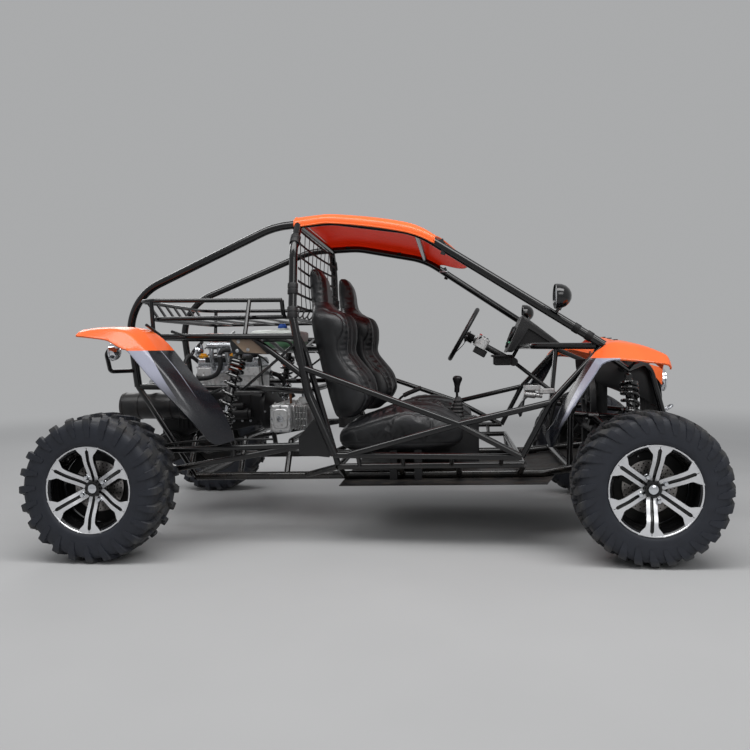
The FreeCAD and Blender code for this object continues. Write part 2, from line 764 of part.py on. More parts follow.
# ---------------------------------------------------------------------------------------------
# Sketched bodies: every corner of a profile is bound to the sheet
# ---------------------------------------------------------------------------------------------
def origin_plane(body, role):
    return [item for item in body.Origin.OriginFeatures if item.Role == role][0]


def value_of(expression):
    return float(sheet.evalExpression(in_sheet(expression).replace("Sizes.", "")))


def sketch_polygon(body, name, plane, corners):
    """A closed polygon; each corner is a pair of expressions in the sheet's aliases."""
    sketch = body.newObject("Sketcher::SketchObject", name)
    sketch.AttachmentSupport = [(origin_plane(body, plane), "")]
    sketch.MapMode = "FlatFace"
    polygon_into(sketch, corners)
    return sketch


def polygon_into(sketch, corners):
    """Closed outline of straight lines, each corner bound to the sheet."""
    places = [Vector(value_of(a), value_of(b), 0) for a, b in corners]
    count = len(places)
    for index in range(count):
        line = Part.LineSegment(places[index], places[(index + 1) % count])
        sketch.addGeometry(line, False)
    for index in range(count):
        after = (index + 1) % count
        sketch.addConstraint(Sketcher.Constraint("Coincident", index, 2, after, 1))
    for index, (across, up) in enumerate(corners):
        for kind, text, value in (("DistanceX", across, places[index].x),
                                  ("DistanceY", up, places[index].y)):
            number = sketch.addConstraint(Sketcher.Constraint(kind, index, 1, value))
            sketch.setExpression("Constraints[%d]" % number, in_sheet(text))


ALIASES = {alias for alias, value, meaning in SIZES}
ALIASES |= {place[0] + axis for place in PLACES for axis in ("_x", "_y", "_z")}


def in_sheet(text):
    """The expression with each alias read from the sheet."""
    words = text.replace("(", "( ").replace(")", " )").split()
    return " ".join("Sizes." + word if word in ALIASES else word for word in words)


def new_body(label, placement=None):
    body = doc.addObject("PartDesign::Body", label)
    body.Label = label
    if placement:
        body.Placement = placement
    nodes.append(body)
    return body


def revolve(body, sketch, axis):
    turned = body.newObject("PartDesign::Revolution", sketch.Name + "_turned")
    turned.Profile = sketch
    turned.ReferenceAxis = (sketch, [axis])
    turned.Angle = 360
    return turned


def minus(text):
    return "-1 * ( " + text + " )"


def tyre(label, width, placement):
    """Tyre as a ring: flat tread, sloped shoulders, bulged side walls and beads on the rim."""
    body = new_body(label, placement)
    half = width + " / 2"
    right = [
        (half + " * 0.86", "bead_radius + seat_gap"),
        (half + " * 0.86", "lip_radius + 3 * seat_gap"),
        (half + " * 0.98", "lip_radius + 16"),
        (half, "tyre_radius - 78"),
        (half + " * 0.95", "tyre_radius - 32"),
        (half + " * 0.8", "tyre_radius - 6"),
        (half + " * 0.68", "tyre_radius")]
    left = [(minus(across), up) for across, up in reversed(right)]
    profile = sketch_polygon(body, label + "_profile", "XY_Plane", right + left)
    revolve(body, profile, "H_Axis")
    return body


def rim(label, width, placement):
    """Wheel rim with six spokes, hub, brake disc and a blind bore for the stub axle."""
    body = new_body(label, placement)
    edge = "( " + width + " * 0.43 + seat_gap + lip_width )"
    seat = "( " + width + " * 0.43 + seat_gap )"
    inner = "bead_radius - barrel_wall"
    barrel = sketch_polygon(body, label + "_barrel", "XY_Plane", [
        (minus(edge), inner), (edge, inner), (edge, "lip_radius"), (seat, "lip_radius"),
        (seat, "bead_radius"), (minus(seat), "bead_radius"), (minus(seat), "lip_radius"),
        (minus(edge), "lip_radius")])
    revolve(body, barrel, "H_Axis")
    face = edge + " - spoke_inset"
    back = face + " - spoke_depth"
    star = body.newObject("Sketcher::SketchObject", label + "_spoke")
    star.AttachmentSupport = [(origin_plane(body, "YZ_Plane"), "")]
    star.MapMode = "FlatFace"
    depth = value_of(back)
    star.AttachmentOffset = Placement(Vector(0, 0, depth), Rotation())
    star.setExpression("AttachmentOffset.Base.z", in_sheet(back))
    polygon_into(star, [
        (minus("spoke_width / 2"), "hub_radius * 0.5"), ("spoke_width / 2", "hub_radius * 0.5"),
        ("spoke_width * 0.62", "bead_radius - barrel_wall / 2"),
        ("spoke_width * -0.62", "bead_radius - barrel_wall / 2")])
    spoke = body.newObject("PartDesign::Pad", label + "_spoke_pad")
    spoke.Profile = star
    spoke.Length = size("spoke_depth")
    spoke.setExpression("Length", "Sizes.spoke_depth")
    hub_back = back + " - hub_length"
    hub = sketch_polygon(body, label + "_hub", "XY_Plane", [
        (face, "0"), (face, "hub_radius"), (back, "hub_radius"), (back, "hub_shell_radius"),
        (hub_back + " + disc_thickness", "hub_shell_radius"),
        (hub_back + " + disc_thickness", "disc_radius"), (hub_back, "disc_radius"),
        (hub_back, "spindle_radius + bearing_clearance"),
        (back, "spindle_radius + bearing_clearance"), (back, "0")])
    doc.recompute()
    ring = body.newObject("PartDesign::PolarPattern", label + "_spokes")
    ring.Originals = [spoke]
    ring.Axis = (barrel, ["H_Axis"])
    ring.Angle = 360
    ring.Occurrences = 6
    body.Tip = ring
    doc.recompute()
    revolve(body, hub, "H_Axis")
    return body


def wheel_placement(datum, wheel_y, side):
    """Local +X points outwards along the axle."""
    turn = Rotation(Vector(0, 0, 1), 90 * side)
    return Placement(Vector(AXLE[datum], side * size(wheel_y), size("tyre_radius")), turn)


SIDES = ((LEFT, "left"), (RIGHT, "right"))
for datum in ("front", "rear"):
    for side, word in SIDES:
        place = wheel_placement(datum, datum + "_wheel_y", side)
        width = datum + "_tyre_width"
        tyre("%s_%s_tyre" % (datum, word), width, place)
        rim("%s_%s_rim" % (datum, word), width, place)


def hub_back(datum):
    """Centre line to the inner end of a wheel hub."""
    edge = size(datum + "_tyre_width") * 0.43 + size("seat_gap") + size("lip_width")
    depth = size("spoke_inset") + size("spoke_depth") + size("hub_length")
    return size(datum + "_wheel_y") + edge - depth


# ---------------------------------------------------------------------------------------------
# Castings and containers
# ---------------------------------------------------------------------------------------------
def casting(label, length, width, height, corner_x, middle_y, bottom, edge):
    """A block on a sketched base, its upright corners rounded."""
    body = new_body(label)
    sketch = sketch_polygon(body, label + "_base", "XY_Plane", [
        (corner_x, middle_y + " - " + width + " / 2"),
        (corner_x + " + " + length, middle_y + " - " + width + " / 2"),
        (corner_x + " + " + length, middle_y + " + " + width + " / 2"),
        (corner_x, middle_y + " + " + width + " / 2")])
    sketch.AttachmentOffset = Placement(Vector(0, 0, value_of(bottom)), Rotation())
    sketch.setExpression("AttachmentOffset.Base.z", in_sheet(bottom))
    pad = body.newObject("PartDesign::Pad", label + "_block")
    pad.Profile = sketch
    pad.Length = size(height)
    pad.setExpression("Length", "Sizes." + height)
    doc.recompute()
    rounded = body.newObject("PartDesign::Fillet", label + "_edges")
    rounded.Base = (pad, ["Edge%d" % (number + 1) for number, line in
                          enumerate(pad.Shape.Edges) if line.Length > 0])
    rounded.Radius = size(edge)
    rounded.setExpression("Radius", "Sizes." + edge)
    return body


casting("engine_block", "engine_length", "engine_width", "engine_height",
        "engine_back", "0", "engine_bottom", "casing_edge")
casting("gearbox", "gearbox_length", "gearbox_width", "gearbox_height",
        "engine_back + engine_length + seat_gap", "0", "gearbox_bottom", "casing_edge")
casting("fuel_tank", "tank_length", "tank_width", "tank_height",
        "tank_back", "0", "tank_bottom", "casing_edge")


def muffler():
    """Silencer lying along the car, with domed ends and a short tail pipe."""
    body = new_body("muffler")
    body.Placement = Placement(
        Vector(size("muffler_back"), size("muffler_y"), size("muffler_height")), Rotation())
    sketch = sketch_polygon(body, "muffler_profile", "XY_Plane", [
        ("0", "0"), ("0", "muffler_radius * 0.34"), ("14", "muffler_radius * 0.9"),
        ("26", "muffler_radius"), ("muffler_length - 26", "muffler_radius"),
        ("muffler_length - 8", "muffler_radius * 0.8"), ("muffler_length", "muffler_radius * 0.3"),
        ("engine_back - muffler_back - seat_gap", "muffler_radius * 0.3"),
        ("engine_back - muffler_back - seat_gap", "0")])
    revolve(body, sketch, "H_Axis")
    return body


muffler()


# ---------------------------------------------------------------------------------------------
# Running gear
# ---------------------------------------------------------------------------------------------
def rod(a, b, radius):
    run = b - a
    return Part.makeCylinder(radius, run.Length, a, run)


def rod_about(middle, along, length, radius):
    """A cylinder centred on a point."""
    way = Vector(along).normalize()
    return Part.makeCylinder(radius, length, middle - way * (length / 2), way)


def joined(shapes):
    first = shapes[0]
    return first.multiFuse(shapes[1:]).removeSplitter()


AXLE_Z = size("tyre_radius")
X_FRONT = AXLE["front"]
X_REAR = AXLE["rear"]
HALF_UPRIGHT = size("knuckle_half_height")
BALL = size("ball_joint_radius")
BALL_HEIGHT = size("ball_joint_height")
ARM_TUBE = SIDE - 2.5
BUSH = ARM_TUBE + 4
BUSH_LENGTH = 46.0
BUSH_REACH = SIDE + BUSH + 8
CROSSBAR_SHARE = 0.26
SPINDLE_END_GAP = 4.0
CALIPER_FOOT = size("disc_radius") - size("caliper_bite")
FRONT_CALIPER_ANGLE = -62
REAR_CALIPER_ANGLE = 58
CALIPER_ARM = (40, 22)
KNUCKLE_BOSS = 44
STEERING_ARM = 10
STEERING_EYE = 15
STEERING_ARM_RISE = 30


def kingpin(side, dz=0.0):
    return Vector(X_FRONT, side * size("kingpin_y"), AXLE_Z + dz)


def spindle(datum, side, start_y):
    """Stub axle from start_y out into the blind bore of the wheel hub."""
    end = hub_back(datum) + size("hub_length") - SPINDLE_END_GAP
    x = AXLE[datum]
    return rod(Vector(x, side * start_y, AXLE_Z), Vector(x, side * end, AXLE_Z),
               size("spindle_radius"))


def centred_box(length, width, height, x, y_start, z_start):
    """A box centred on x that starts at y_start and z_start."""
    box = Part.makeBox(length, width, height)
    box.translate(Vector(x - length / 2, y_start, z_start))
    return box


def caliper_block(datum):
    """Brake caliper above its axle: a block slotted for the disc; also its inner face."""
    y = hub_back(datum) + size("disc_thickness") / 2
    slot = size("disc_thickness") + 2 * size("caliper_clearance")
    inner = y - slot / 2 - size("caliper_wall")
    block = centred_box(size("caliper_length"), slot + 2 * size("caliper_wall"),
                        size("caliper_height"), 0, inner, CALIPER_FOOT)
    groove = Part.makeCylinder(size("disc_radius") + size("caliper_clearance"), slot,
                               Vector(0, y - slot / 2, 0), Vector(0, 1, 0))
    return block.cut(groove), inner


def round_axle(shape, datum, angle):
    """A shape made above the origin, turned about the axle and moved there."""
    shape.rotate(Vector(0, 0, 0), Vector(0, 1, 0), angle)
    shape.translate(Vector(AXLE[datum], 0, AXLE_Z))
    return shape


def tie_rod_end(side):
    """Middle of the joint on top of a steering arm."""
    return Vector(X_FRONT - size("steering_arm_back"),
                  side * (size("kingpin_y") - size("steering_arm_in")),
                  AXLE_Z + STEERING_ARM_RISE + 9 + STEERING_EYE)


def knuckle(side):
    """Front upright: kingpin boss, axle boss, spindle, caliper and the steering arm."""
    radius = size("kingpin_radius")
    post = rod(kingpin(side, -HALF_UPRIGHT), kingpin(side, HALF_UPRIGHT), radius)
    boss = rod(kingpin(side), kingpin(side) + Vector(0, side * 40, 0), KNUCKLE_BOSS)
    start = size("kingpin_y")
    block, inner = caliper_block("front")
    arm_root = start - STEERING_EYE + 1
    block_arm = centred_box(CALIPER_ARM[0], inner - arm_root, CALIPER_ARM[1], 0, arm_root,
                            CALIPER_FOOT + 4)
    brake = joined([block, block_arm])
    if side == RIGHT:
        brake = mirrored(brake)
    brake = round_axle(brake, "front", FRONT_CALIPER_ANGLE)
    tip = tie_rod_end(side)
    tip.z = AXLE_Z + STEERING_ARM_RISE
    arm = rod(kingpin(side, STEERING_ARM_RISE), tip, STEERING_ARM)
    eye = rod_about(tip, (0, 0, 1), 18, STEERING_EYE)
    body = joined([post, boss, spindle("front", side, start), arm, eye, brake])
    bore = rod_about(tip, (0, 0, 1), 40, 6)
    return body.cut(bore)


for side, word in SIDES:
    feature("front_%s_knuckle" % word, knuckle(side))


def front_arm(side, height, rail_rear, rail_front, spread, crossbar):
    """One wishbone: ball joint housing, two legs and their bushes on the frame rails."""
    way = 1 if height > 0 else -1
    ball = kingpin(side, way * (HALF_UPRIGHT + size("ball_joint_gap") + BALL_HEIGHT / 2))
    parts = [rod_about(ball, (0, 0, 1), BALL_HEIGHT, BALL)]
    bushes = []
    for dx in (-spread, spread):
        rail = on_line(rail_rear, rail_front, X_FRONT + dx)
        inner = Vector(rail.x, side * (rail.y + BUSH_REACH), rail.z)
        bushes.append(inner)
        parts.append(rod(ball, inner, ARM_TUBE))
        parts.append(rod_about(inner, (1, 0, 0), BUSH_LENGTH, BUSH))
    if crossbar:
        a = between(ball, bushes[0], crossbar)
        b = between(ball, bushes[1], crossbar)
        parts.append(rod(a, b, ARM_TUBE - 3))
    return joined(parts), bushes


def bush_tabs(bushes, rails, side):
    """Ears that carry the bushes from the rail, one each side of each bush."""
    ears = []
    for bush in bushes:
        rail = on_line(*rails, bush.x)
        for dx in (-1, 1):
            x = bush.x + dx * (BUSH_LENGTH / 2 + size("seat_gap") + size("plate") / 2)
            x = x - size("plate") / 2
            lift = BUSH + 3
            low = min(bush.z, rail.z)
            corners = [Vector(x, side * (rail.y - 2), rail.z + lift),
                       Vector(x, side * (abs(bush.y) + BUSH), bush.z + lift * 0.6),
                       Vector(x, side * (abs(bush.y) + BUSH), bush.z - lift * 0.6),
                       Vector(x, side * (rail.y - 2), low - lift)]
            ears.append(plate(corners, size("plate"), Vector(1, 0, 0)))
    return ears


def front_arms():
    low_rails = (at("low_front"), at("nose_low"))
    high_rails = (at("front_post_mid"), at("nose_mid"))
    shapes = []
    for side in (LEFT, RIGHT):
        lower, low_bushes = front_arm(side, -1, *low_rails, 150, CROSSBAR_SHARE)
        upper, high_bushes = front_arm(side, 1, *high_rails, 160, 0)
        for shape in (lower, upper):
            shapes.extend(pieces(cope(shape)))
        ears = bush_tabs(low_bushes, low_rails, side)
        ears += bush_tabs(high_bushes, high_rails, side)
        for ear in ears:
            for shape in (lower, upper):
                ear = ear.cut(shape)
            shapes.extend(pieces(cope(ear), 100))
    return Part.makeCompound(shapes)


feature("front_arms", front_arms())


def spring(start, end):
    """A coil spring as a helix of round wire between two points on its axis."""
    height = (end - start).Length
    radius = size("coil_radius")
    helix = Part.makeHelix(height / size("coil_count"), height, radius)
    wire = Part.Wire(Part.makeCircle(size("coil_wire"), Vector(radius, 0, 0), Vector(0, 1, 0)))
    coil = Part.Wire(helix.Edges).makePipeShell([wire], True, True)
    turn = Rotation(Vector(0, 0, 1), end - start)
    coil.Placement = Placement(start, turn)
    return coil


def shock(top, foot, top_reach, foot_reach):
    """Coil-over damper: eyes along Y with their reach to each side, body, rod, cups, spring."""
    way = (foot - top).normalize()
    length = (foot - top).Length
    eye = size("eye_tube")
    cup = size("coil_radius") + size("coil_wire")
    parts = []
    for middle, reach in ((top, top_reach), (foot, foot_reach)):
        ends = [middle + Vector(0, y, 0) for y in reach]
        parts.append(rod(ends[0], ends[1], eye))
    body_end = top + way * length * 0.56
    parts.append(rod(top, body_end, size("damper_radius")))
    parts.append(rod(body_end, foot, size("damper_rod_radius")))
    cup_low = foot - way * (eye + 42)
    parts.append(rod(cup_low, cup_low + way * 8, cup))
    cup_high = top + way * (eye + 20)
    parts.append(rod(cup_high, cup_high + way * 8, cup))
    rest = size("coil_wire") + size("seat_gap")
    coil = spring(cup_high + way * (8 + rest), cup_low - way * rest)
    return [joined(parts), coil]


def both_sides(shapes):
    return Part.makeCompound(shapes + [mirrored(shape) for shape in shapes])


def front_shocks():
    """From under the tower tube down to the cross bar of the lower wishbone."""
    eye = size("eye_tube")
    top = at("tower_top") + Vector(0, 6, -SIDE - eye - size("seat_gap"))
    ball = kingpin(LEFT, -(HALF_UPRIGHT + size("ball_joint_gap") + BALL_HEIGHT / 2))
    rail = on_line(at("low_front"), at("nose_low"), X_FRONT)
    bar = between(ball, Vector(X_FRONT, rail.y + BUSH_REACH, rail.z), CROSSBAR_SHARE)
    foot = bar + Vector(0, 0, ARM_TUBE - 3 + eye + 1.0)
    return both_sides(shock(top, foot, (-20, 20), (-14, 14)))


feature("front_shocks", front_shocks())


def carrier_inner():
    """Centre line to the inner face of a rear wheel carrier."""
    return at("trail_high").y - SIDE - 4


def carrier_outer():
    """Centre line to the outer face of a rear wheel carrier."""
    return size("rear_wheel_y") - size("rear_tyre_width") / 2 - size("running_gap") - 4


def rear_arms():
    """Trailing arms: pivot bush, two tubes, a web, the wheel carrier and its stub axle."""
    pivot = at("trail_pivot")
    high = at("trail_high")
    low = at("trail_low")
    hub = Vector(X_REAR, carrier_inner(), AXLE_Z)
    parts = [
        rod_about(pivot, (0, 1, 0), TRAIL_BUSH, BUSH + 3),
        rod(pivot, high, SIDE), rod(pivot, low, SIDE),
        rod(between(pivot, high, 0.42), between(pivot, low, 0.42), SIDE - 3),
        rod(high, Vector(X_REAR, high.y, AXLE_Z), SIDE + 4),
        rod(low, Vector(X_REAR, low.y, AXLE_Z), SIDE + 4),
        rod(high, low, SIDE),
        rod(hub, Vector(X_REAR, carrier_outer(), AXLE_Z), 62),
        spindle("rear", LEFT, carrier_inner() + 20)]
    return both_sides([joined(parts)])


feature("rear_arms", clear_of_frame(rear_arms()))


def rear_calipers():
    """Rear brake calipers on brackets that reach out from the wheel carriers."""
    block, inner = caliper_block("rear")
    face = carrier_outer() + size("seat_gap")
    arm = centred_box(CALIPER_ARM[0], inner + 6 - face, CALIPER_ARM[1], 0, face,
                      CALIPER_FOOT + 2)
    foot = centred_box(CALIPER_ARM[0], 10, CALIPER_FOOT, 0, face, 20)
    return both_sides([round_axle(joined([block, arm, foot]), "rear", REAR_CALIPER_ANGLE)])


feature("rear_calipers", rear_calipers())


def rear_shocks():
    """From the gusset on the bay rail down to the upper tube of the trailing arm."""
    eye = size("eye_tube")
    on_arm = between(at("trail_pivot"), at("trail_high"), 0.5)
    foot = on_arm + Vector(0, 0, SIDE + eye + size("seat_gap") + 0.4)
    top = at("rear_shock_top")
    reach = shock_gusset_y() - size("seat_gap") - top.y
    return both_sides(shock(top, foot, (-20, reach), (-14, 14)))


feature("rear_shocks", rear_shocks())


def final_drive():
    """Final drive casing, bolted to the back of the engine."""
    middle = at("final_drive")
    casing = rod_about(middle, (0, 1, 0), size("final_drive_width"), size("final_drive_radius"))
    high = middle + Vector(0, 0, 140)
    neck = rod(middle, high, 56)
    bell = rod(high, Vector(size("engine_back") - size("seat_gap"), 0, high.z), 50)
    return joined([casing, neck, bell])


def half_shafts():
    """Shafts from the final drive to the wheel carriers, with a boot at each end."""
    middle = at("final_drive")
    gap = size("seat_gap")
    start = middle + Vector(0, size("final_drive_width") / 2 + gap, 0)
    end = Vector(X_REAR, carrier_inner() - gap, AXLE_Z)
    inner = Part.makeCone(44, 22, 92, start, Vector(0, 1, 0))
    outer = Part.makeCone(40, 20, 84, end, Vector(0, -1, 0))
    shaft = rod(start + Vector(0, 40, 0), end - Vector(0, 40, 0), 14)
    return both_sides([joined([shaft, inner, outer])])


feature("final_drive", final_drive())
feature("half_shafts", half_shafts())


# ---------------------------------------------------------------------------------------------
# Steering
# ---------------------------------------------------------------------------------------------
RACK_TRAVEL = 66.0
WHEEL_HUB_BACK = 62.0
STUB_LENGTH = 60.0


def rack_line():
    """Centre of the steering rack."""
    return Vector(X_FRONT - size("steering_arm_back"), 0, 500)


def steering_rack():
    """Sliding rack bar with both tie rods."""
    middle = rack_line()
    half = 255.0
    shapes = [rod(middle - Vector(0, half, 0), middle + Vector(0, half, 0), 12)]
    for side in (LEFT, RIGHT):
        inner = middle + Vector(0, side * half, 0)
        outer = tie_rod_end(side)
        shapes.append(Part.makeSphere(15, inner))
        shapes.append(rod(inner, outer, size("tie_rod_radius")))
        shapes.append(rod_about(outer, (0, 0, 1), 26, 14))
    return joined(shapes)


def rack_housing():
    """Rack housing on two mounts, with the pinion tower."""
    middle = rack_line()
    bore = 12 + size("bearing_clearance")
    half = 255 - 15 - RACK_TRAVEL - 4
    tube_outside = rod(middle - Vector(0, half, 0), middle + Vector(0, half, 0),
                       size("rack_radius"))
    foot = column_line()[2]
    tower = rod(middle + Vector(-14, foot.y, 4), foot, 17)
    legs = []
    for side in (LEFT, RIGHT):
        leg = Part.makeBox(26, 30, 112)
        leg.translate(middle + Vector(-13, side * (half - 40) - 15, -112))
        legs.append(leg)
    tray = Part.makeBox(46, 2 * half + 40, size("plate"))
    tray.translate(middle + Vector(-23, -half - 20, -112 - size("plate")))
    shape = joined([tube_outside, tower, tray] + legs)
    return shape.cut(rod(middle - Vector(0, 600, 0), middle + Vector(0, 600, 0), bore))


def column_line():
    """Wheel centre, universal joint and foot of the steering column."""
    return at("wheel_centre"), at("column_joint"), at("column_foot")


def steering_column():
    """Column tube from below the wheel to the joint, and the lower shaft to the rack."""
    top, joint, foot = column_line()
    way = (joint - top).normalize()
    start = top + way * (WHEEL_HUB_BACK + size("running_gap"))
    upper = rod(start, joint, size("column_radius") + 7)
    shaft = rod(joint, foot, size("column_radius"))
    fork = rod_about(joint, (0, 1, 0), 50, 24)
    bar = at("dash_corner")
    clamp_top = between(top, joint, 0.95)
    hanger = rod(clamp_top, Vector(bar.x, clamp_top.y, bar.z), 10)
    column = joined([upper, shaft, fork, hanger])
    bore = size("column_radius") + size("bearing_clearance")
    return column.cut(rod(start - way, start + way * STUB_LENGTH, bore))


def steering_wheel():
    """Rim, three spokes and hub, square to the column."""
    top, joint, foot = column_line()
    way = (joint - top).normalize()
    rim_ring = Part.makeTorus(size("wheel_rim_radius"), size("wheel_grip_radius"), top, way)
    hub = rod(top + way * 20, top + way * WHEEL_HUB_BACK, 30)
    stub_end = top + way * (WHEEL_HUB_BACK + STUB_LENGTH - size("running_gap"))
    stub = rod(top + way * 30, stub_end, size("column_radius"))
    shapes = [rim_ring, hub, stub]
    across = Vector(0, 1, 0)
    upward = way.cross(across)
    for angle in (0, 180, 90):
        turn = math.radians(angle)
        out = across * math.cos(turn) - upward * math.sin(turn)
        end = top + out * size("wheel_rim_radius")
        shapes.append(rod(top + way * 28 + out * 18, end, 9))
    return joined(shapes)


feature("steering_rack", steering_rack())
housing = clear_of_frame(rack_housing().fuse(steering_column()).removeSplitter())
feature("steering_column", housing)
feature("steering_wheel", steering_wheel())


# ---------------------------------------------------------------------------------------------
# Cabin
# ---------------------------------------------------------------------------------------------
def dashboard():
    """Instrument pod in front of the driver, a plate bent round the dash tube."""
    body = new_body("dashboard")
    ahead = "wheelbase / 2 + "
    sketch = sketch_polygon(body, "dashboard_side", "XZ_Plane", [
        (ahead + "dash_foot_x", "dash_foot_z"),
        (ahead + "dash_top_x", "dash_top_z"),
        (ahead + "dash_top_x + pod_wall", "dash_top_z + pod_edge"),
        (ahead + "dash_front_x", "dash_front_z"),
        (ahead + "dash_front_x - pod_lip", "dash_front_z - pod_lip"),
        (ahead + "dash_top_x + pod_wall", "dash_top_z - 2 * pod_wall"),
        (ahead + "dash_foot_x + pod_wall", "dash_foot_z - pod_edge")])
    sketch.setExpression(".AttachmentOffset.Base.z", "-Sizes.pod_outer_y")
    pad = body.newObject("PartDesign::Pad", "dashboard_pod")
    pad.Profile = sketch
    pad.setExpression("Length", "Sizes.pod_outer_y - Sizes.pod_inner_y")
    return body


def gear_lever():
    foot = at("lever_foot")
    knob = at("lever_knob")
    boot = Part.makeCone(43, 17, 96, foot, Vector(0, 0, 1))
    stick = rod(foot + Vector(0, 0, 60), knob, 8)
    grip = Part.makeSphere(21, knob)
    neck = Part.makeCone(12, 19, 60, knob - Vector(0, 0, 60), Vector(0, 0, 1))
    return joined([boot, stick, grip, neck])


def floor_top(x):
    """Upper face of the floor sheet at a station."""
    return on_line(at("low_rear"), at("low_front"), x).z - MAIN - size("seat_gap")


def console():
    """Console between the seats that carries the gear lever: narrow behind, wide in front."""
    foot = at("lever_foot")
    top = foot.z - size("seat_gap")
    narrow = size("seat_y") - size("seat_width") / 2 - 6
    shapes = []
    for start, end, half, rear_top in ((-330, -50, narrow, 470), (-52, 112, 44, top)):
        corners = [Vector(foot.x + start, -half, floor_top(foot.x + start) + size("seat_gap")),
                   Vector(foot.x + end, -half, floor_top(foot.x + end) + size("seat_gap")),
                   Vector(foot.x + end, -half, top), Vector(foot.x + start, -half, rear_top)]
        shapes.append(plate(corners, 2 * half, Vector(0, 1, 0)))
    return joined(shapes)


dashboard()
feature("gear_lever", gear_lever())
feature("centre_console", clear_of_frame(console()))


def seat_lead(side):
    """How far a seat stands ahead of its place."""
    return size("seat_lead") if side == LEFT else 0.0


def dished(share):
    """Places across a seat from -1 to 1, and whether each is on a side bolster."""
    return ((-share, 1), (-0.74 * share, 1), (-0.52 * share, 0), (0.52 * share, 0),
            (0.74 * share, 1), (share, 1))


def seat_back(side):
    """High-backed bucket: narrow at the head, wide at the shoulders, a hollow down its front."""
    y = side * size("seat_y")
    half = size("seat_width") / 2
    x = seat_lead(side)
    base = size("seat_top") + size("seat_gap")
    sections = []
    for back_x, front_x, rise, share, hollow in (
            (-172, -12, 0, 0.86, 10), (-205, -44, 94, 0.92, 30), (-262, -140, 294, 0.9, 45),
            (-300, -158, 454, 0.96, 52), (-322, -228, 544, 0.7, 24), (-338, -256, 644, 0.48, 0),
            (-352, -286, 746, 0.4, 0)):
        front = []
        back = []
        for across, bolster in dished(share):
            place = y + half * across
            front.append(Vector(x + front_x - hollow * (1 - bolster), place, base + rise))
            back.append(Vector(x + back_x, place, base + rise))
        sections.append(front + back[::-1])
    return skin(sections)


def seat_cushion(side):
    """Cushion with raised sides; its top is level where the back stands on it."""
    y = side * size("seat_y")
    half = size("seat_width") / 2
    x = seat_lead(side)
    low = size("seat_base")
    high = size("seat_top")
    sections = []
    for at_x, lift, top, share, hollow in (
            (-176, 60, 0, 0.86, 0), (-10, 8, 0, 0.98, 0), (60, 0, 0, 0.98, 14),
            (220, 0, 8, 1.0, 24), (330, 6, 6, 0.92, 18), (440, 44, -40, 0.78, 0)):
        upper = []
        lower = []
        for across, bolster in dished(share):
            place = y + half * across
            upper.append(Vector(x + at_x, place, high + top - hollow * (1 - bolster)))
            lower.append(Vector(x + at_x, place, low + lift))
        sections.append(upper + lower[::-1])
    return skin(sections)


def seat_frames():
    """Legs between the floor and the cushions."""
    shapes = []
    for side in (LEFT, RIGHT):
        for dx in (70, 190):
            x = seat_lead(side) + dx
            foot = max(floor_top(x), floor_top(x + 36)) + size("seat_gap")
            box = Part.makeBox(36, 360, size("seat_base") - size("seat_gap") - foot)
            box.translate(Vector(x, side * size("seat_y") - 180, foot))
            shapes.append(box)
    return clear_of_frame(Part.makeCompound(shapes))


feature("seat_backs", Part.makeCompound([seat_back(LEFT), seat_back(RIGHT)]))
feature("seat_cushions", Part.makeCompound([seat_cushion(LEFT), seat_cushion(RIGHT)]))
feature("seat_frames", seat_frames())


# ---------------------------------------------------------------------------------------------
# Lamps, mirrors and towing eyes
# ---------------------------------------------------------------------------------------------
def mirrors():
    shapes = []
    for side in (LEFT, RIGHT):
        head = at("mirror", side)
        line = (at("pillar_base", side), at("screen_bend", side))
        foot = on_line(*line, head.x - 26)
        shell = Part.makeSphere(size("mirror_height") / 2, Vector(0, 0, 0))
        squeeze = FreeCAD.Matrix()
        squeeze.scale(0.5, size("mirror_width") / size("mirror_height"), 1)
        shell = shell.transformGeometry(squeeze)
        shell.translate(head + Vector(0, side * 60, 0))
        stalk = rod(head + Vector(0, side * 40, -20), foot, 8)
        shapes.append(joined([shell, stalk]))
    return clear_of_frame(Part.makeCompound(shapes))


def lamps(place, radius, depth, along, stalk):
    shapes = []
    for side in (LEFT, RIGHT):
        middle = at(place, side)
        bowl = Part.makeCone(radius, radius * 0.5, depth, middle, Vector(along))
        glass = rod(middle, middle - Vector(along) * 8, radius)
        bar = rod(middle + Vector(along) * depth * 0.6, middle + Vector(*stalk(side)), 7)
        shapes.append(joined([bowl, glass, bar]))
    return clear_of_frame(Part.makeCompound(shapes))


def towing_eyes():
    """Eye plates at the nose and at the tail, on the centre line's left and right."""
    t = size("eye_thickness")
    radius = size("eye_radius")
    shapes = []
    for name, way in (("tow_eye", -1), ("rear_eye", 1)):
        eye = at(name)
        disc = rod_about(eye, (0, 1, 0), t, radius)
        tail = Part.makeBox(90, t, radius * 1.6)
        tail.translate(eye + Vector(0 if way > 0 else -90, -t / 2, -radius * 0.8))
        shape = joined([disc, tail]).cut(rod_about(eye, (0, 1, 0), 2 * t, size("eye_bore")))
        shapes.append(shape)
    return clear_of_frame(Part.makeCompound(shapes))


feature("mirrors", mirrors())
feature("tail_lamps", lamps("tail_lamp", size("lamp_radius"), 42, (1, 0, 0),
                            lambda side: (30, -side * 40, 60)))
feature("head_lamps", lamps("head_lamp", size("head_lamp_radius"), 70, (-1, 0, 0),
                            lambda side: (-72, side * 120, 0)))
feature("towing_eyes", towing_eyes())

doc.recompute()
os.makedirs("parts", exist_ok=True)
problems = []
for item in doc.Objects:
    if "Invalid" in item.State or "Error" in item.State:
        problems.append("%s is %s" % (item.Label, item.State))
for node in nodes:
    if node.Shape.isNull() or not node.Shape.isValid() or not node.Shape.Solids:
        problems.append("%s has no valid solid" % node.Label)
if problems:
    raise SystemExit("\n".join(problems))
for node in nodes:
    node.Shape.exportStep("parts/%s.step" % node.Label)
print(len(nodes), "nodes written")
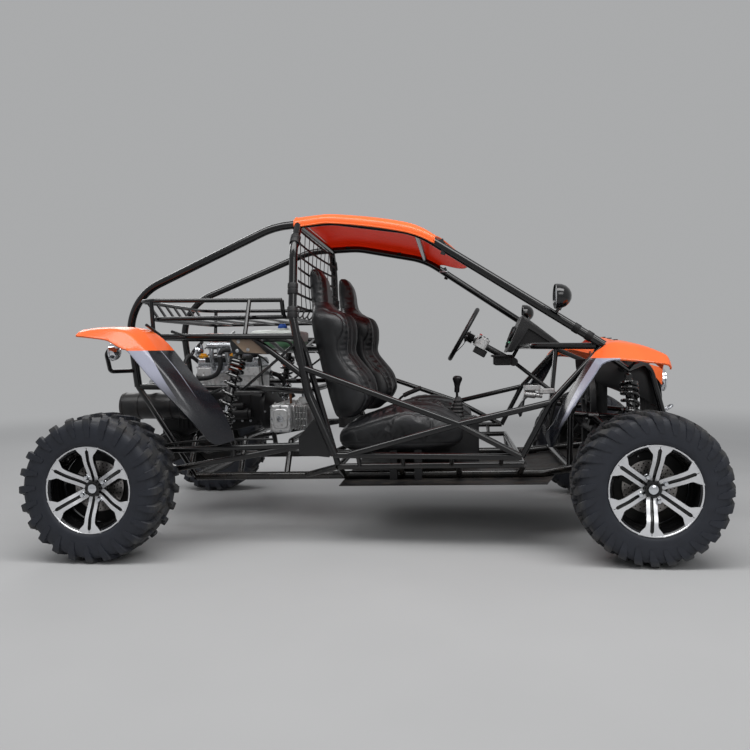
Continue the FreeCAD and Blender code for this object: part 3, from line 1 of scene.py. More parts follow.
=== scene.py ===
"""Looks of an open two-seat buggy: wheels, wings, seats, engine and fittings on the frame."""
import math
from functools import cached_property

import bmesh
import bpy
import numpy as np
from mathutils import Matrix, Vector


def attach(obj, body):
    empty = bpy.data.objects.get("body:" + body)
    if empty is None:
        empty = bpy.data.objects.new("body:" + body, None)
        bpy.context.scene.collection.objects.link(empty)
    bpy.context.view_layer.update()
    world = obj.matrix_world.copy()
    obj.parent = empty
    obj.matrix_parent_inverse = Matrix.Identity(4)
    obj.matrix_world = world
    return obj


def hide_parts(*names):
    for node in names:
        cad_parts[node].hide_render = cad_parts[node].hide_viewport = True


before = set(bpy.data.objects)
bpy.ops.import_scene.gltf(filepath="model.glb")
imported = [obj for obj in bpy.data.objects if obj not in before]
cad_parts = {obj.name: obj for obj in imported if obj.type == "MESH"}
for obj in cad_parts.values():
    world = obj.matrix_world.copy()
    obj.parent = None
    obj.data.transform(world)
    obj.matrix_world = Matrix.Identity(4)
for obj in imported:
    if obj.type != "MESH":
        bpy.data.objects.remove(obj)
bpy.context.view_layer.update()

MM = 0.001
FRONT, REAR = 1206.0, -1206.0
AXLE_Z = 325.0
NEAR, FAR = -1, 1
HANDS = ("right", NEAR), ("left", FAR)


# ---- Surfaces, all worked out in millimetres ----
X, Y, Z = np.eye(3)


def floats(values):
    """Values as an array of numbers."""
    return np.asarray(values, float)


def full_turn(count):
    """Evenly spaced angles of one turn."""
    return np.linspace(0, 2 * math.pi, count, endpoint=False)


def spread(*values):
    """Values that are repeated until they have one shape, as the components of points."""
    return np.stack(np.broadcast_arrays(*values), -1)


class Part:
    """Points, faces, the finish number of each face, and a spot value for each point."""

    def __init__(self, points, faces, finishes=None, spots=None):
        self.points = floats(points).reshape(-1, 3)
        self.faces = faces
        self.finishes = finishes or [np.zeros(len(f), int) for f in faces]
        self.spots = np.zeros_like(self.points) if spots is None else np.reshape(spots, (-1, 3))

    def painted(self, number):
        """The same part with one finish all over."""
        return Part(self.points, self.faces, [np.full(len(f), number) for f in self.faces],
            self.spots)

    def mapped(self, rule):
        """The same faces with every point moved by rule(points)."""
        return Part(rule(self.points), self.faces, self.finishes, self.spots)

    def __add__(self, other):
        shift = len(self.points)
        return Part(np.vstack([self.points, other.points]),
            self.faces + [f + shift for f in other.faces], self.finishes + other.finishes,
            np.vstack([self.spots, other.spots]))


def joined(parts):
    """All the parts as one."""
    parts = list(parts)
    total = parts[0]
    for part in parts[1:]:
        total = total + part
    return total


def both(part):
    """The part and its reflection in the centre plane."""
    return part + part.mapped(lambda p: p * (1, -1, 1))


def unit(vectors):
    """Vectors divided by their lengths."""
    vectors = floats(vectors)
    return vectors / np.maximum(np.linalg.norm(vectors, axis=-1, keepdims=True), 1e-12)


def grid(table, wrap_u=False, wrap_v=False, finishes=0, spots=None):
    """Quads over a table of points, (rows, columns, 3); a wrapped side is joined to its start."""
    table = floats(table)
    rows, columns = table.shape[:2]
    index = np.arange(rows * columns).reshape(rows, columns)
    if wrap_u:
        index = np.vstack([index, index[:1]])
    if wrap_v:
        index = np.hstack([index, index[:, :1]])
    quads = spread(index[:-1, :-1], index[1:, :-1], index[1:, 1:], index[:-1, 1:])
    numbers = np.zeros(quads.shape[:2], int) + finishes
    return Part(table, [quads.reshape(-1, 4)], [numbers.ravel()], spots)


def loft(rings, finishes=0):
    """Closed forms through rings, (copies, stations, corners, 3), with a flat face at each end."""
    rings = floats(rings)
    rings = rings.reshape((-1,) + rings.shape[-3:])
    copies, stations, corners = rings.shape[:3]
    index = np.arange(copies * stations * corners).reshape(copies, stations, corners)
    ahead = np.roll(index, -1, axis=2)
    quads = spread(index[:, :-1], index[:, 1:], ahead[:, 1:], ahead[:, :-1])
    numbers = np.zeros(quads.shape[:3], int) + finishes
    ends = np.concatenate([index[:, 0, ::-1], index[:, -1]])
    return Part(rings, [quads.reshape(-1, 4), ends], [numbers.ravel(), np.zeros(len(ends), int)])


def through(points, steps, axis=0):
    """Cubic through a table's points along one axis: each span is the blend of its two ends and
    the slopes there, a slope being half of the step from the point before to the point after."""
    p = np.moveaxis(floats(points), axis, 0)
    slope = np.gradient(p, axis=0)
    share = (np.arange(steps) / steps).reshape((1, -1) + (1,) * (p.ndim - 1))
    a, b, da, db = (q[:, None] for q in (p[:-1], p[1:], slope[:-1], slope[1:]))
    s2, s3 = share ** 2, share ** 3
    spans = (a * (2 * s3 - 3 * s2 + 1) + b * (3 * s2 - 2 * s3) + da * (s3 - 2 * s2 + share)
        + db * (s3 - s2))
    spans = spans.reshape((-1,) + p.shape[1:])
    return np.moveaxis(np.concatenate([spans, p[-1:]]), 0, axis)


def eased_corners(table, reach):
    """Columns joined by straight runs whose corners are rounded: each corner is the parabola
    from a point reach before it to a point reach after it."""
    table = floats(table)
    corner = table[:, 1:-1]

    def towards(way):
        """Points that far along a way, but never past 0.45 of it."""
        length = np.linalg.norm(way, axis=-1, keepdims=True)
        return corner + unit(way) * np.minimum(reach, 0.45 * length)
    start, end = towards(table[:, :-2] - corner), towards(table[:, 2:] - corner)
    t = np.linspace(0, 1, 5).reshape(1, 1, -1, 1)
    bends = (start[:, :, None] * (1 - t) ** 2 + 2 * corner[:, :, None] * t * (1 - t)
        + end[:, :, None] * t ** 2)
    bends = bends.reshape(len(table), -1, 3)
    return np.concatenate([table[:, :1], bends, table[:, -1:]], axis=1)


def normals_of(table):
    """Unit normals of a table of points: the cross product of its two directions."""
    return unit(np.cross(np.gradient(table, axis=0), np.gradient(table, axis=1)))


def facing_shell(table, thickness, axis, inside=1, spots=None):
    """A sheet with a wall on the side away from an axis's positive direction: the table of
    points, the same moved along its normals, and a strip round the edge."""
    normals = normals_of(table)
    inner = table - normals * thickness * (1 if np.sum(normals[..., axis]) > 0 else -1)
    parts = [grid(table, spots=spots), grid(inner, spots=spots).painted(inside)]
    return joined(parts + [grid(np.stack([table[side], inner[side]]))
        for side in (0, -1, (slice(None), 0), (slice(None), -1))])


def square_to(axis):
    """The unit axis and two unit directions square to it."""
    axis = unit(axis)
    helper = np.eye(3)[np.argmin(np.abs(axis))]
    first = unit(np.cross(helper, axis))
    return axis, first, np.cross(axis, first)


def lathe(profile, middle, axis, segments, closed=False):
    """A profile of (along the axis, radius) points turned round the axis through middle."""
    profile = floats(profile)
    along, first, second = square_to(axis)
    turn = full_turn(segments)[:, None, None]
    round_it = np.cos(turn) * first + np.sin(turn) * second
    return grid(middle + profile[:, :1] * along + profile[:, 1:] * round_it, True, closed)


def sweep(path, section, across=None):
    """A closed section of (side, up) points carried along a path; side stays as near as it can
    to the direction across, which is the path's flattest direction if none is given."""
    path = floats(path)
    if across is None:
        across = np.linalg.svd(path - path.mean(0))[2][-1]
    ahead = unit(np.gradient(path, axis=0))
    side = unit(across - (ahead @ across)[:, None] * ahead)
    up = np.cross(ahead, side)
    return loft(path[:, None] + section[:, :1] * side[:, None] + section[:, 1:] * up[:, None])


def circle(radius, corners):
    """A round section."""
    turn = full_turn(corners)
    return spread(np.cos(turn), np.sin(turn)) * radius


def oblong(width, height, corner, steps=2):
    """A rectangular section with rounded corners."""
    turn = np.linspace(0, math.pi / 2, steps + 1)
    arc = spread(np.cos(turn), np.sin(turn)) * corner
    quarter = arc + (width / 2 - corner, height / 2 - corner)
    top = np.concatenate([quarter, quarter[::-1] * (-1, 1)])
    return np.concatenate([top, -top])


def hose(points, radius, corners=12, steps=8):
    """A round tube along a smooth curve through the points."""
    return sweep(through(points, steps), circle(radius, corners))


def bar(a, b, radius, corners=14):
    """A round bar between two points, its ends chamfered."""
    a, b = floats(a), floats(b)
    length = np.linalg.norm(b - a)
    cut = min(radius * 0.25, length * 0.2)
    profile = [(0, 0), (0, radius - cut), (cut, radius), (length - cut, radius),
        (length, radius - cut), (length, 0)]
    return lathe(profile, a, b - a, corners)


def slab(low, high, corner, cut, up=2):
    """A box with rounded upright corners and chamfered top and bottom edges."""
    low, high = np.sort(floats([low, high]), axis=0)
    middle, room = (low + high) / 2, high - low
    a, b = [k for k in range(3) if k != up]
    rings = []
    for share, inset in ((-0.5, cut), (-0.5, 0), (0.5, 0), (0.5, cut)):
        section = oblong(room[a] - 2 * inset, room[b] - 2 * inset, corner)
        ring = np.zeros((len(section), 3))
        ring[:, a], ring[:, b] = section[:, 0], section[:, 1]
        ring[:, up] = share * (room[up] - (0 if inset else 2 * cut))
        rings.append(ring + middle)
    return loft(rings)


def pillow(low, high, square, flat, rows, corners):
    """A closed form between a box and an egg: the cosines and sines of both turns are raised to
    the powers square and flat, near 0 for a box and 1 for an egg."""
    low, high = floats(low), floats(high)
    rise = np.linspace(-math.pi / 2, math.pi / 2, rows)[:, None]
    turn = full_turn(corners)[None]
    wide = swelled(np.cos(rise), flat)
    table = spread(wide * swelled(np.cos(turn), square), wide * swelled(np.sin(turn), square),
        swelled(np.sin(rise), flat) + 0 * turn)
    return grid((low + high) / 2 + table * (high - low) / 2, wrap_v=True)


def swelled(values, power):
    """Values raised to a power with their signs kept."""
    return np.sign(values) * np.abs(values) ** power


def sheet_metal(corners, thickness, away):
    """A flat plate from its corners, with its edges chamfered, as thick as told along away."""
    corners, away = floats(corners), unit(away)
    middle = corners.mean(0)
    inset = unit(middle - corners) * min(1.5, thickness * 0.4)
    rings = [corners + inset + away * -thickness / 2, corners + away * -thickness * 0.2,
        corners + away * thickness * 0.2, corners + inset + away * thickness / 2]
    return loft(rings)


def around(part, middle, axis, count):
    """Copies of a part spaced evenly round an axis."""
    copies = []
    for number in range(count):
        turn = np.array(Matrix.Rotation(2 * math.pi * number / count, 3, Vector(axis)))
        copies.append(part.mapped(lambda p: (p - middle) @ turn.T + middle))
    return joined(copies)


def bolt(place, axis, across, height):
    """A hexagon head on a washer."""
    washer = lathe([(0, 0), (0, across * 0.72), (1.6, across * 0.72), (1.6, 0)], place, axis, 16)
    head = lathe([(1.6, 0), (1.6, across * 0.577), (height - 1, across * 0.577),
        (height, across * 0.46), (height, 0)], place, axis, 6)
    return washer + head


# ---- Pieces ----
def mesh_of(name, part, crease):
    """A Blender mesh of a part, its doubled points merged and its faces turned outwards."""
    mesh = bpy.data.meshes.new(name)
    faces = [face for group in part.faces for face in group.tolist()]
    mesh.from_pydata((part.points * MM).tolist(), [], faces)
    mesh.polygons.foreach_set("material_index", np.concatenate(part.finishes).astype(np.int32))
    spot = mesh.attributes.new("spot", "FLOAT_VECTOR", "POINT")
    spot.data.foreach_set("vector", part.spots.astype(np.float32).ravel())
    work = bmesh.new()
    work.from_mesh(mesh)
    bmesh.ops.remove_doubles(work, verts=work.verts, dist=2e-6)
    flat = [f for f in work.faces if f.calc_area() < 1e-12]
    bmesh.ops.delete(work, geom=flat, context="FACES_ONLY")
    bmesh.ops.recalc_face_normals(work, faces=work.faces)
    work.to_mesh(mesh)
    work.free()
    mesh.shade_smooth()
    mesh.set_sharp_from_angle(angle=math.radians(crease))
    return mesh


def piece(name, part, finishes, body="chassis", stands_for=(), crease=32.0):
    """A finished piece that rides on a body; it may stand for nodes of the frame and carry the
    slot of its finish."""
    thing = bpy.data.objects.new(name, mesh_of(name, part, crease))
    bpy.context.collection.objects.link(thing)
    for finish in [finishes] if isinstance(finishes, str) else finishes:
        thing.data.materials.append(FINISH[finish])
    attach(thing, body)
    if stands_for:
        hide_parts(*stands_for)
    return thing


# ---- Finishes ----
class Wire:
    """A socket of a finish; arithmetic on it adds Math nodes to the same finish."""

    def __init__(self, mix, socket):
        self.mix, self.socket = mix, socket

    def maths(self, operation, *values):
        return self.mix.node("ShaderNodeMath", {"operation": operation}, dict(enumerate(values)))

    def __add__(self, other):
        return self.maths("ADD", self, other)

    def __sub__(self, other):
        return self.maths("SUBTRACT", self, other)

    def __rsub__(self, other):
        return self.maths("SUBTRACT", other, self)

    def __mul__(self, other):
        return self.maths("MULTIPLY", self, other)

    def __truediv__(self, other):
        return self.maths("DIVIDE", self, other)

    def __pow__(self, other):
        return self.maths("POWER", self, other)

    __radd__, __rmul__ = __add__, __mul__

    def band(self, low, high):
        """0 below low, 1 above high, and a smooth rise between."""
        return self.mix.node("ShaderNodeMapRange", {"interpolation_type": "SMOOTHSTEP"},
            {"Value": self, "From Min": low, "From Max": high})

    def wave(self, turns):
        """The sine of a number of turns, from 0 to 1."""
        return self.maths("SINE", self * (2 * math.pi * turns)) * 0.5 + 0.5


class Mixture:
    """The nodes of one finish, or of the world."""

    def __init__(self, owner):
        self.owner, self.tree = owner, owner.node_tree
        self.tree.nodes.clear()

    @cached_property
    def place(self):
        """The place on the object, in metres."""
        return self.node("ShaderNodeTexCoord", {}, {}, "Object")

    def node(self, kind, settings, values, out=0):
        """A node of a kind: its settings first, then the values or wires of its sockets."""
        made = self.tree.nodes.new(kind)
        for key, value in settings.items():
            setattr(made, key, value)
        for key, value in values.items():
            if isinstance(value, Wire):
                self.tree.links.new(value.socket, made.inputs[key])
            elif isinstance(value, tuple) and made.inputs[key].type == "RGBA":
                made.inputs[key].default_value = (*value[:3], 1)
            else:
                made.inputs[key].default_value = value
        return Wire(self, made.outputs[out]) if len(made.outputs) else None

    def noise(self, scale, detail=3.0, rough=0.55, stretch=(1, 1, 1)):
        """Soft cloudy noise from 0 to 1; scale is in cells per metre."""
        where = self.node("ShaderNodeMapping", {}, {"Vector": self.place, "Scale": stretch})
        return self.node("ShaderNodeTexNoise", {}, {"Vector": where, "Scale": scale,
            "Detail": detail, "Roughness": rough})

    def cells(self, scale):
        """Distance to the middle of the nearest cell, as in leather grain."""
        return self.node("ShaderNodeTexVoronoi", {}, {"Vector": self.place, "Scale": scale})

    def grain(self, scale, detail):
        """Noise, or cells where no detail is given."""
        return self.noise(scale, detail) if detail else self.cells(scale)

    def part(self, vector, axis):
        """One component of a vector."""
        return self.node("ShaderNodeSeparateXYZ", {}, {"Vector": vector}, "XYZ".index(axis))

    def height(self, axis="Z"):
        """The place along an axis, in millimetres."""
        return self.part(self.place, axis) / MM

    def spot(self, axis):
        """One component of the mesh's own spot value."""
        return self.part(self.node("ShaderNodeAttribute", {"attribute_name": "spot"}, {},
            "Vector"), axis)

    def blend(self, share, first, second):
        """Colour first where share is 0 and second where it is 1."""
        return self.node("ShaderNodeMix", {"data_type": "RGBA"}, {0: share, 6: first, 7: second},
            2)


def paint(red, green, blue):
    """A colour given as it looks, 0 to 255, in linear light."""
    values = np.array([red, green, blue]) / 255
    return tuple(float(v) for v in np.where(values <= 0.04045, values / 12.92,
        ((values + 0.055) / 1.055) ** 2.4))


FINISH = {}
ORANGE, DUST = paint(252, 108, 34), paint(96, 86, 74)


def make_finish(name, rule, relief=0.0, **fixed):
    """A finish: rule(mixture) gives what varies over the surface, with "height" for the relief;
    fixed are the shader's values that are the same all over."""
    material = bpy.data.materials.new(name)
    material.use_nodes = True
    mix = Mixture(material)
    varies = rule(mix)
    values = {key.replace("_", " "): value for key, value in fixed.items()}
    height = varies.pop("height", None)
    if height is not None:
        values["Normal"] = mix.node("ShaderNodeBump", {},
            {"Strength": 1.0, "Distance": relief * MM, "Height": height})
    values.update(varies)
    shader = mix.node("ShaderNodeBsdfPrincipled", {}, values)
    mix.node("ShaderNodeOutputMaterial", {}, {"Surface": shader})
    FINISH[name] = material


def wing_paint_and_reflections(mix, level, start, low, high, crease, orange_from=None):
    """Orange above a height; below it a black flap. A pale grey band over the flap's outer part
    fades out downwards: it is a painted reflection of bright sky in that facet. A light line along
    the fold is a painted highlight. Where orange_from is given, a dark grey strip runs along the
    front wing's lower edge near its nose."""
    orange = mix.blend(mix.noise(5, 2).band(0.3, 0.7), ORANGE, paint(246, 98, 28))
    black = mix.blend(mix.noise(9, 3), paint(12, 13, 18), paint(22, 24, 31))
    across, height = mix.spot("X"), mix.height()
    narrower = across + (height - level) * 0.0007
    # painted reflection: the pale grey band over the flap's outer part, fading downwards, stands
    # for bright sky mirrored there
    painted_sky_reflection = narrower.band(start, start + 0.012) * height.band(low, high)
    # painted highlight: a light line along the fold
    line = (across.band(crease, crease + 0.004) * (1 - across.band(crease + 0.02,
        crease + 0.03)) * height.band(low, high) * 0.6)
    black = mix.blend(painted_sky_reflection, black, paint(158, 160, 176))
    black = mix.blend(line, black, paint(190, 194, 206))
    above = height.band(level - 1.5, level + 1.5)
    if orange_from:
        along = mix.height("X")
        above = above.maths("MAXIMUM", above, along.band(orange_from - 2, orange_from + 2))
        under = (861 - (along - 1155) * 0.29 - height).band(0, 2) * along.band(1120, 1160)
        orange = mix.blend(under, orange, paint(70, 72, 78))
    scuffs = mix.noise(170, 2, 0.6, (1, 4, 1)).band(0.62, 0.7)
    return {"Base Color": mix.blend(above, black, orange), "Roughness": 0.26 + scuffs * 0.1
        + above * 0.12, "height": mix.noise(700, 2)}


def plain_orange(mix):
    colour = mix.blend(mix.noise(5, 2).band(0.3, 0.7), ORANGE, paint(246, 104, 32))
    return {"Base Color": colour, "Roughness": 0.38 + mix.noise(90) * 0.08,
        "height": mix.noise(700, 2)}


# painted glow: the underside's deeper red-orange is also given off as light, standing in for
# daylight shining through the plastic
def under_orange(mix):
    colour = mix.blend(mix.noise(6, 3), paint(240, 40, 14), paint(250, 58, 20))
    return {"Base Color": colour, "Emission Color": colour, "Roughness": 0.42
        + mix.noise(120) * 0.15, "height": mix.noise(260, 3)}


def tyre_rubber(mix):
    """Black with a painted bluish sheen, worn and dusty on the tread, with fine rings on the side
    wall.
    """
    radius = mix.spot("Y")
    tread = radius.band(285, 318)
    # painted sheen: the bluish tint of the black rubber stands for sky light mirrored in it
    sheened_black = mix.blend(mix.noise(24, 4), paint(22, 25, 33), paint(35, 39, 49))
    worn = mix.blend(mix.noise(40, 5), paint(46, 46, 47), paint(74, 73, 71))
    colour = mix.blend(tread * mix.noise(18, 3).band(0.3, 0.7), sheened_black, worn)
    rings = radius.wave(1 / 7.0) * (radius.band(206, 210) * (1 - radius.band(236, 240)))
    return {"Base Color": colour, "Roughness": 0.52 + mix.noise(70) * 0.14 + tread * 0.12,
        "height": rings * 0.5 + mix.noise(300, 3) * 0.5}


def turned_metal(pitch, cloud, shade, other, rough, spread):
    """Metal turned on a lathe: fine rings at a pitch in millimetres."""
    def rule(mix):
        rings = mix.spot("Y").wave(1 / pitch)
        return {"Base Color": mix.blend(mix.noise(*cloud), paint(*shade), paint(*other)),
            "Roughness": rough + rings * spread, "height": rings}
    return rule


def cast_metal(mix):
    stains = mix.noise(48, 5).band(0.5, 0.8)
    colour = mix.blend(stains * 0.7, paint(222, 222, 222), paint(96, 88, 78))
    return {"Base Color": colour, "Roughness": 0.38 + stains * 0.2 + mix.noise(300) * 0.08,
        "height": mix.noise(520, 4)}


def rusty_pipe(mix):
    scale = mix.noise(30, 5).band(0.35, 0.7)
    colour = mix.blend(scale, paint(86, 74, 66), paint(134, 84, 56))
    return {"Base Color": colour, "Roughness": 0.5 + scale * 0.25, "Metallic": 0.7 - scale * 0.5,
        "height": mix.noise(260, 4)}


def heat_black(mix):
    bloom = mix.noise(12, 4).band(0.4, 0.8)
    colour = mix.blend(bloom, paint(26, 26, 28), paint(52, 48, 46))
    return {"Base Color": colour, "Roughness": 0.34 + bloom * 0.15, "height": mix.noise(900, 2)}


def leather(mix):
    grain = mix.cells(620)
    wear = mix.noise(9, 4).band(0.45, 0.8)
    colour = mix.blend(wear, paint(12, 13, 16), paint(23, 24, 29))
    return {"Base Color": colour, "Roughness": 0.34 + grain * 0.16 + wear * 0.06,
        "height": grain ** 0.7 + mix.noise(60, 3) * 0.5}


def webbing(mix):
    weave = mix.spot("X").wave(1 / 2.4) * mix.spot("Y").wave(1 / 3.0)
    return {"Base Color": mix.blend(weave, paint(14, 14, 15), paint(40, 40, 42)), "Roughness": 0.8
        - weave * 0.1, "height": weave}


def tank_plastic(mix):
    """Cloudy white plastic through which the filling shows green."""
    level = 1 - mix.height().band(968, 978)
    cloudy = mix.blend(mix.noise(16, 3), paint(226, 230, 226), paint(208, 214, 208))
    return {"Base Color": mix.blend(level * 0.85, cloudy, paint(70, 150, 92)), "Roughness": 0.36
        + mix.noise(60) * 0.1, "height": mix.noise(240, 3)}


def dial_face(mix):
    """A dark dial with a ring of light strokes: the spot is (turn, radius, 0)."""
    turn, radius = mix.spot("X"), mix.spot("Y")
    strokes = (turn * 40).maths("FRACT", turn * 40).band(0.72, 0.76)
    ring = radius.band(27, 27.5) * (1 - radius.band(33, 33.5))
    return {"Base Color": mix.blend(strokes * ring, paint(16, 17, 20), paint(220, 222, 226)),
        "Roughness": 0.3 + mix.noise(200) * 0.05}


def dusty(shade, most, rough, spread, scale, grain, low=150, high=520):
    """Black with more dust towards the ground and in patches, where it is duller too."""
    def rule(mix):
        patches = mix.noise(14, 4).band(0.35, 0.75)
        share = (1 - mix.height().band(low, high)) * patches * most
        return {"Base Color": mix.blend(share, paint(*shade), DUST), "Roughness": rough
            + mix.noise(scale) * spread + share, "height": mix.grain(*grain)}
    return rule


def clouded(shade, other, cloud=(45, 3), rough=(0.35, 0.1, 120), grain=(300, 2)):
    """Two shades in soft clouds. rough is (least roughness, its spread, its cells a metre);
    grain is the relief's scale and detail."""
    def rule(mix):
        return {"Base Color": mix.blend(mix.noise(*cloud), paint(*shade), paint(*other)),
            "Roughness": rough[0] + mix.noise(rough[2]) * rough[1], "height": mix.grain(*grain)
            if grain else None}
    return rule


# name: (rule, relief in millimetres, the shader's fixed values)
LACQUER = {"Coat_Weight": 0.35, "Coat_Roughness": 0.18}
FINISHES = {"gloss_black": (dusty((6, 6, 8), 0.22, 0.16, 0.08, 60, (420, 2)), 0.006,
    {"Coat_Weight": 0.4, "Coat_Roughness": 0.08, "Specular_IOR_Level": 0.4}),
    "satin_black": (dusty((10, 10, 12), 0.18, 0.42, 0.15, 80, (1500, 2)), 0.02,
    {"Specular_IOR_Level": 0.35}), "spring_black": (dusty((8, 8, 9), 0.12, 0.12, 0.08, 60,
    (600, 2)), 0.005, {"Coat_Weight": 0.6}), "gloss_shell":
    (dusty((8, 8, 9), 0.12, 0.12, 0.08, 60, (600, 2)), 0.005, {"Coat_Weight": 0.3}),
    "floor_plate": (dusty((18, 18, 20), 0.35, 0.45, 0.15, 60, (60, 0), 200, 500), 0.3, {}),
    # the two wing finishes carry a painted sky reflection and a painted fold highlight on their
    # black flaps
    "front_livery": (lambda m: wing_paint_and_reflections(m, 874, 0.64, 560, 700, 0.38, 1072), 0.02, LACQUER),
    "rear_livery": (lambda m: wing_paint_and_reflections(m, 931, 0.72, 690, 850, 0.43), 0.02, LACQUER),
    "plain_orange": (plain_orange, 0.02, LACQUER),
    # painted glow: Emission_Strength 0.2 lights the underside as if daylight shone through the
    # plastic
    "under_orange": (under_orange, 0.04, {"Emission_Strength": 0.2, "Specular_IOR_Level": 0.2}),
    "tyre_rubber": (tyre_rubber, 0.25, {}), "machined":
    (turned_metal(0.9, (30, 2), (232, 232, 234), (212, 213, 216), 0.16, 0.1), 0.01,
    {"Metallic": 0.45}), "brake_steel": (turned_metal(1.7, (26, 4), (186, 184, 184),
    (150, 142, 136), 0.3, 0.12), 0.03, {"Metallic": 0.9}),
    "cast_metal": (cast_metal, 0.25, {"Metallic": 0.85}), "heat_black": (heat_black, 0.04, {}),
    "rusty_pipe": (rusty_pipe, 0.1, {}), "leather": (leather, 0.1, {"Specular_IOR_Level": 0.6}),
    "webbing": (webbing, 0.3, {}), "tank_plastic": (tank_plastic, 0.06, {}),
    "dial_face": (dial_face, 0.0, {"Coat_Weight": 1.0}),
    "wheel_black": (clouded((6, 6, 7), (13, 13, 14), (40, 3), (0.2, 0.1, 60), (500, 2)), 0.01,
    {"Coat_Weight": 0.4, "Specular_IOR_Level": 0.35}),
    "chrome": (clouded((232, 234, 238), (214, 217, 222), (30, 2), (0.06, 0.06, 80), None), 0.0,
    {"Metallic": 1.0}), "bright_metal": (clouded((200, 202, 206), (164, 166, 170), (40, 3),
    (0.22, 0.12, 140), (400, 2)), 0.05, {"Metallic": 0.9}),
    "rubber": (clouded((13, 13, 14), (27, 27, 29), (50, 3), (0.48, 0.16, 90), (600, 3)), 0.08, {}),
    "moulded_plastic": (clouded((13, 13, 15), (21, 21, 23), (20, 3), (0.44, 0.1, 200), (1300, 0)),
    # painted reflection: tan stands for brown ground mirrored in the black shock plates
    0.05, {}), "tan_primer": (clouded((150, 130, 110), (128, 110, 94), (18, 4), (0.3, 0.15, 60),
    (700, 2)), 0.03, {}), "lamp_green": (clouded((40, 170, 120), (30, 150, 104),
    rough=(0.2, 0.1, 120)), 0.02, {"Coat_Weight": 0.5}),
    "collar_orange": (clouded((240, 92, 20), (220, 76, 16)), 0.03, {}),
    "cap_yellow": (clouded((226, 158, 28), (206, 138, 20)), 0.03, {}),
    "cap_blue": (clouded((40, 88, 170), (30, 70, 150)), 0.03, {}),
    "wire_red": (clouded((190, 40, 26), (160, 30, 22)), 0.03, {}),
    "belt_grey": (clouded((96, 98, 102), (72, 74, 78), rough=(0.5, 0.1, 120)), 0.05, {}),
    "lamp_red": (clouded((170, 20, 14), (140, 14, 10), rough=(0.1, 0.1, 120)), 0.02,
    {"Coat_Weight": 1.0}), "lamp_clear": (clouded((214, 218, 222), (196, 200, 206),
    rough=(0.05, 0.1, 120)), 0.02, {"Coat_Weight": 1.0, "Metallic": 0.5}),
    "mirror_glass": (clouded((214, 218, 222), (206, 210, 216), rough=(0.02, 0.1, 120)), 0.0,
    {"Metallic": 1.0})}
for name, (rule, relief, fixed) in FINISHES.items():
    make_finish(name, rule, relief, **fixed)

SLOT_FINISH = {"frame_black": "gloss_black", "wheel_alloy": "machined",
    "body_orange": "plain_orange", "cast_alloy": "cast_metal", "muffler_black": "heat_black",
    "tank_white": "tank_plastic", "seat_leather": "leather", "trim_black": "moulded_plastic",
    "spring_black": "spring_black", "bright_steel": "bright_metal", "lamp_chrome": "chrome",
    "floor_dark": "floor_plate", "tyre_rubber": "tyre_rubber"}
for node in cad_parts.values():
    for holder in node.material_slots:
        given = holder.material.name.split(".")[0] if holder.material else ""
        holder.material = FINISH[SLOT_FINISH.get(given, "satin_black")]


# ---- Tyres and rims, worked out about each wheel's own axle: (outwards, radius, angle) ----
# Axle, its x, the wheel's y, tyre width, the rim's outer edge, the first spoke, lugs on a side.
WHEELS = [("rear", REAR, 840, 280, 129.7, 90.5, 24), ("front", FRONT, 790, 229, 107.77, 84.5, 28)]
PLACES = [(axle, hand, side, floats((x, side * y, AXLE_Z)), *rest) for axle, x, y, *rest in WHEELS
    for hand, side in HANDS]
# How far the hub's face and the brake disc's face lie inside the rim's outer edge.
HUB_DEPTH, DISC_DEPTH = 52, 107
TYRE_SECTION = [(0, 309), (0.3, 308.6), (0.6, 307), (0.8, 302.5), (0.9, 294), (0.96, 277),
    (0.98, 254), (0.98, 232), (0.965, 208), (0.93, 197), (0.89, 190), (0.87, 179)]


def on_wheel(outwards, radius, angle, middle, side):
    """Points of a wheel: outwards along the axle from its middle plane, and round it from +X
    towards +Z."""
    x, y, z = middle
    return spread(x + radius * np.cos(angle), y + side * outwards, z + radius * np.sin(angle))


def tyre_curve(half):
    """The outer section of half a tyre from the crown to the bead, as points and distances."""
    table = np.array(TYRE_SECTION) * (half, 1)
    curve = np.minimum(through(table, 8), (half, AXLE_Z))
    steps = np.linalg.norm(np.diff(curve, axis=0), axis=1)
    return curve, np.concatenate([[0], np.cumsum(steps)])


def carcass(half, middle, side):
    """The tyre without its lugs: its section turned round the axle, closed inside the bead."""
    curve, _ = tyre_curve(half)
    section = np.concatenate([curve, curve[::-1][:-1] * (-1, 1)])
    return turned_ring(section, middle, side, segments=144)


def lugs(half, middle, side, count, rows, mirror, phase):
    """Tread blocks: each is a six-cornered section carried along the tyre's section. A row is
    (distance from the crown, lead in degrees, half width, height)."""
    curve, distance = tyre_curve(half)
    rows = floats(rows)
    out = np.interp(rows[:, 0], distance, curve[:, 0])
    radius = np.interp(rows[:, 0], distance, curve[:, 1])
    slope = np.gradient(curve, axis=0)
    away = unit(spread(-slope[:, 1], slope[:, 0]))
    away = np.stack([np.interp(rows[:, 0], distance, away[:, k]) for k in (0, 1)], -1)
    corners = np.array([(-1.12, -4, 0), (-1.06, 0, 0.72), (-0.9, 0, 1), (0.9, 0, 1),
        (1.06, 0, 0.72), (1.12, -4, 0)])
    lift = corners[None, :, 1] + corners[None, :, 2] * rows[:, 3:]
    out = np.minimum(out[:, None] + away[:, :1] * lift, half)
    radius = np.minimum(radius[:, None] + away[:, 1:] * lift, AXLE_Z)
    turn = np.radians(rows[:, 1:2]) + corners[None, :, 0] * rows[:, 2:3] / radius
    pitch = (np.arange(count) * 2 * math.pi / count + phase)[:, None, None]
    part = loft(on_wheel(mirror * out, radius, pitch + turn, middle, side))
    part.spots = spread(pitch + turn, radius, out).reshape(-1, 3)
    return part


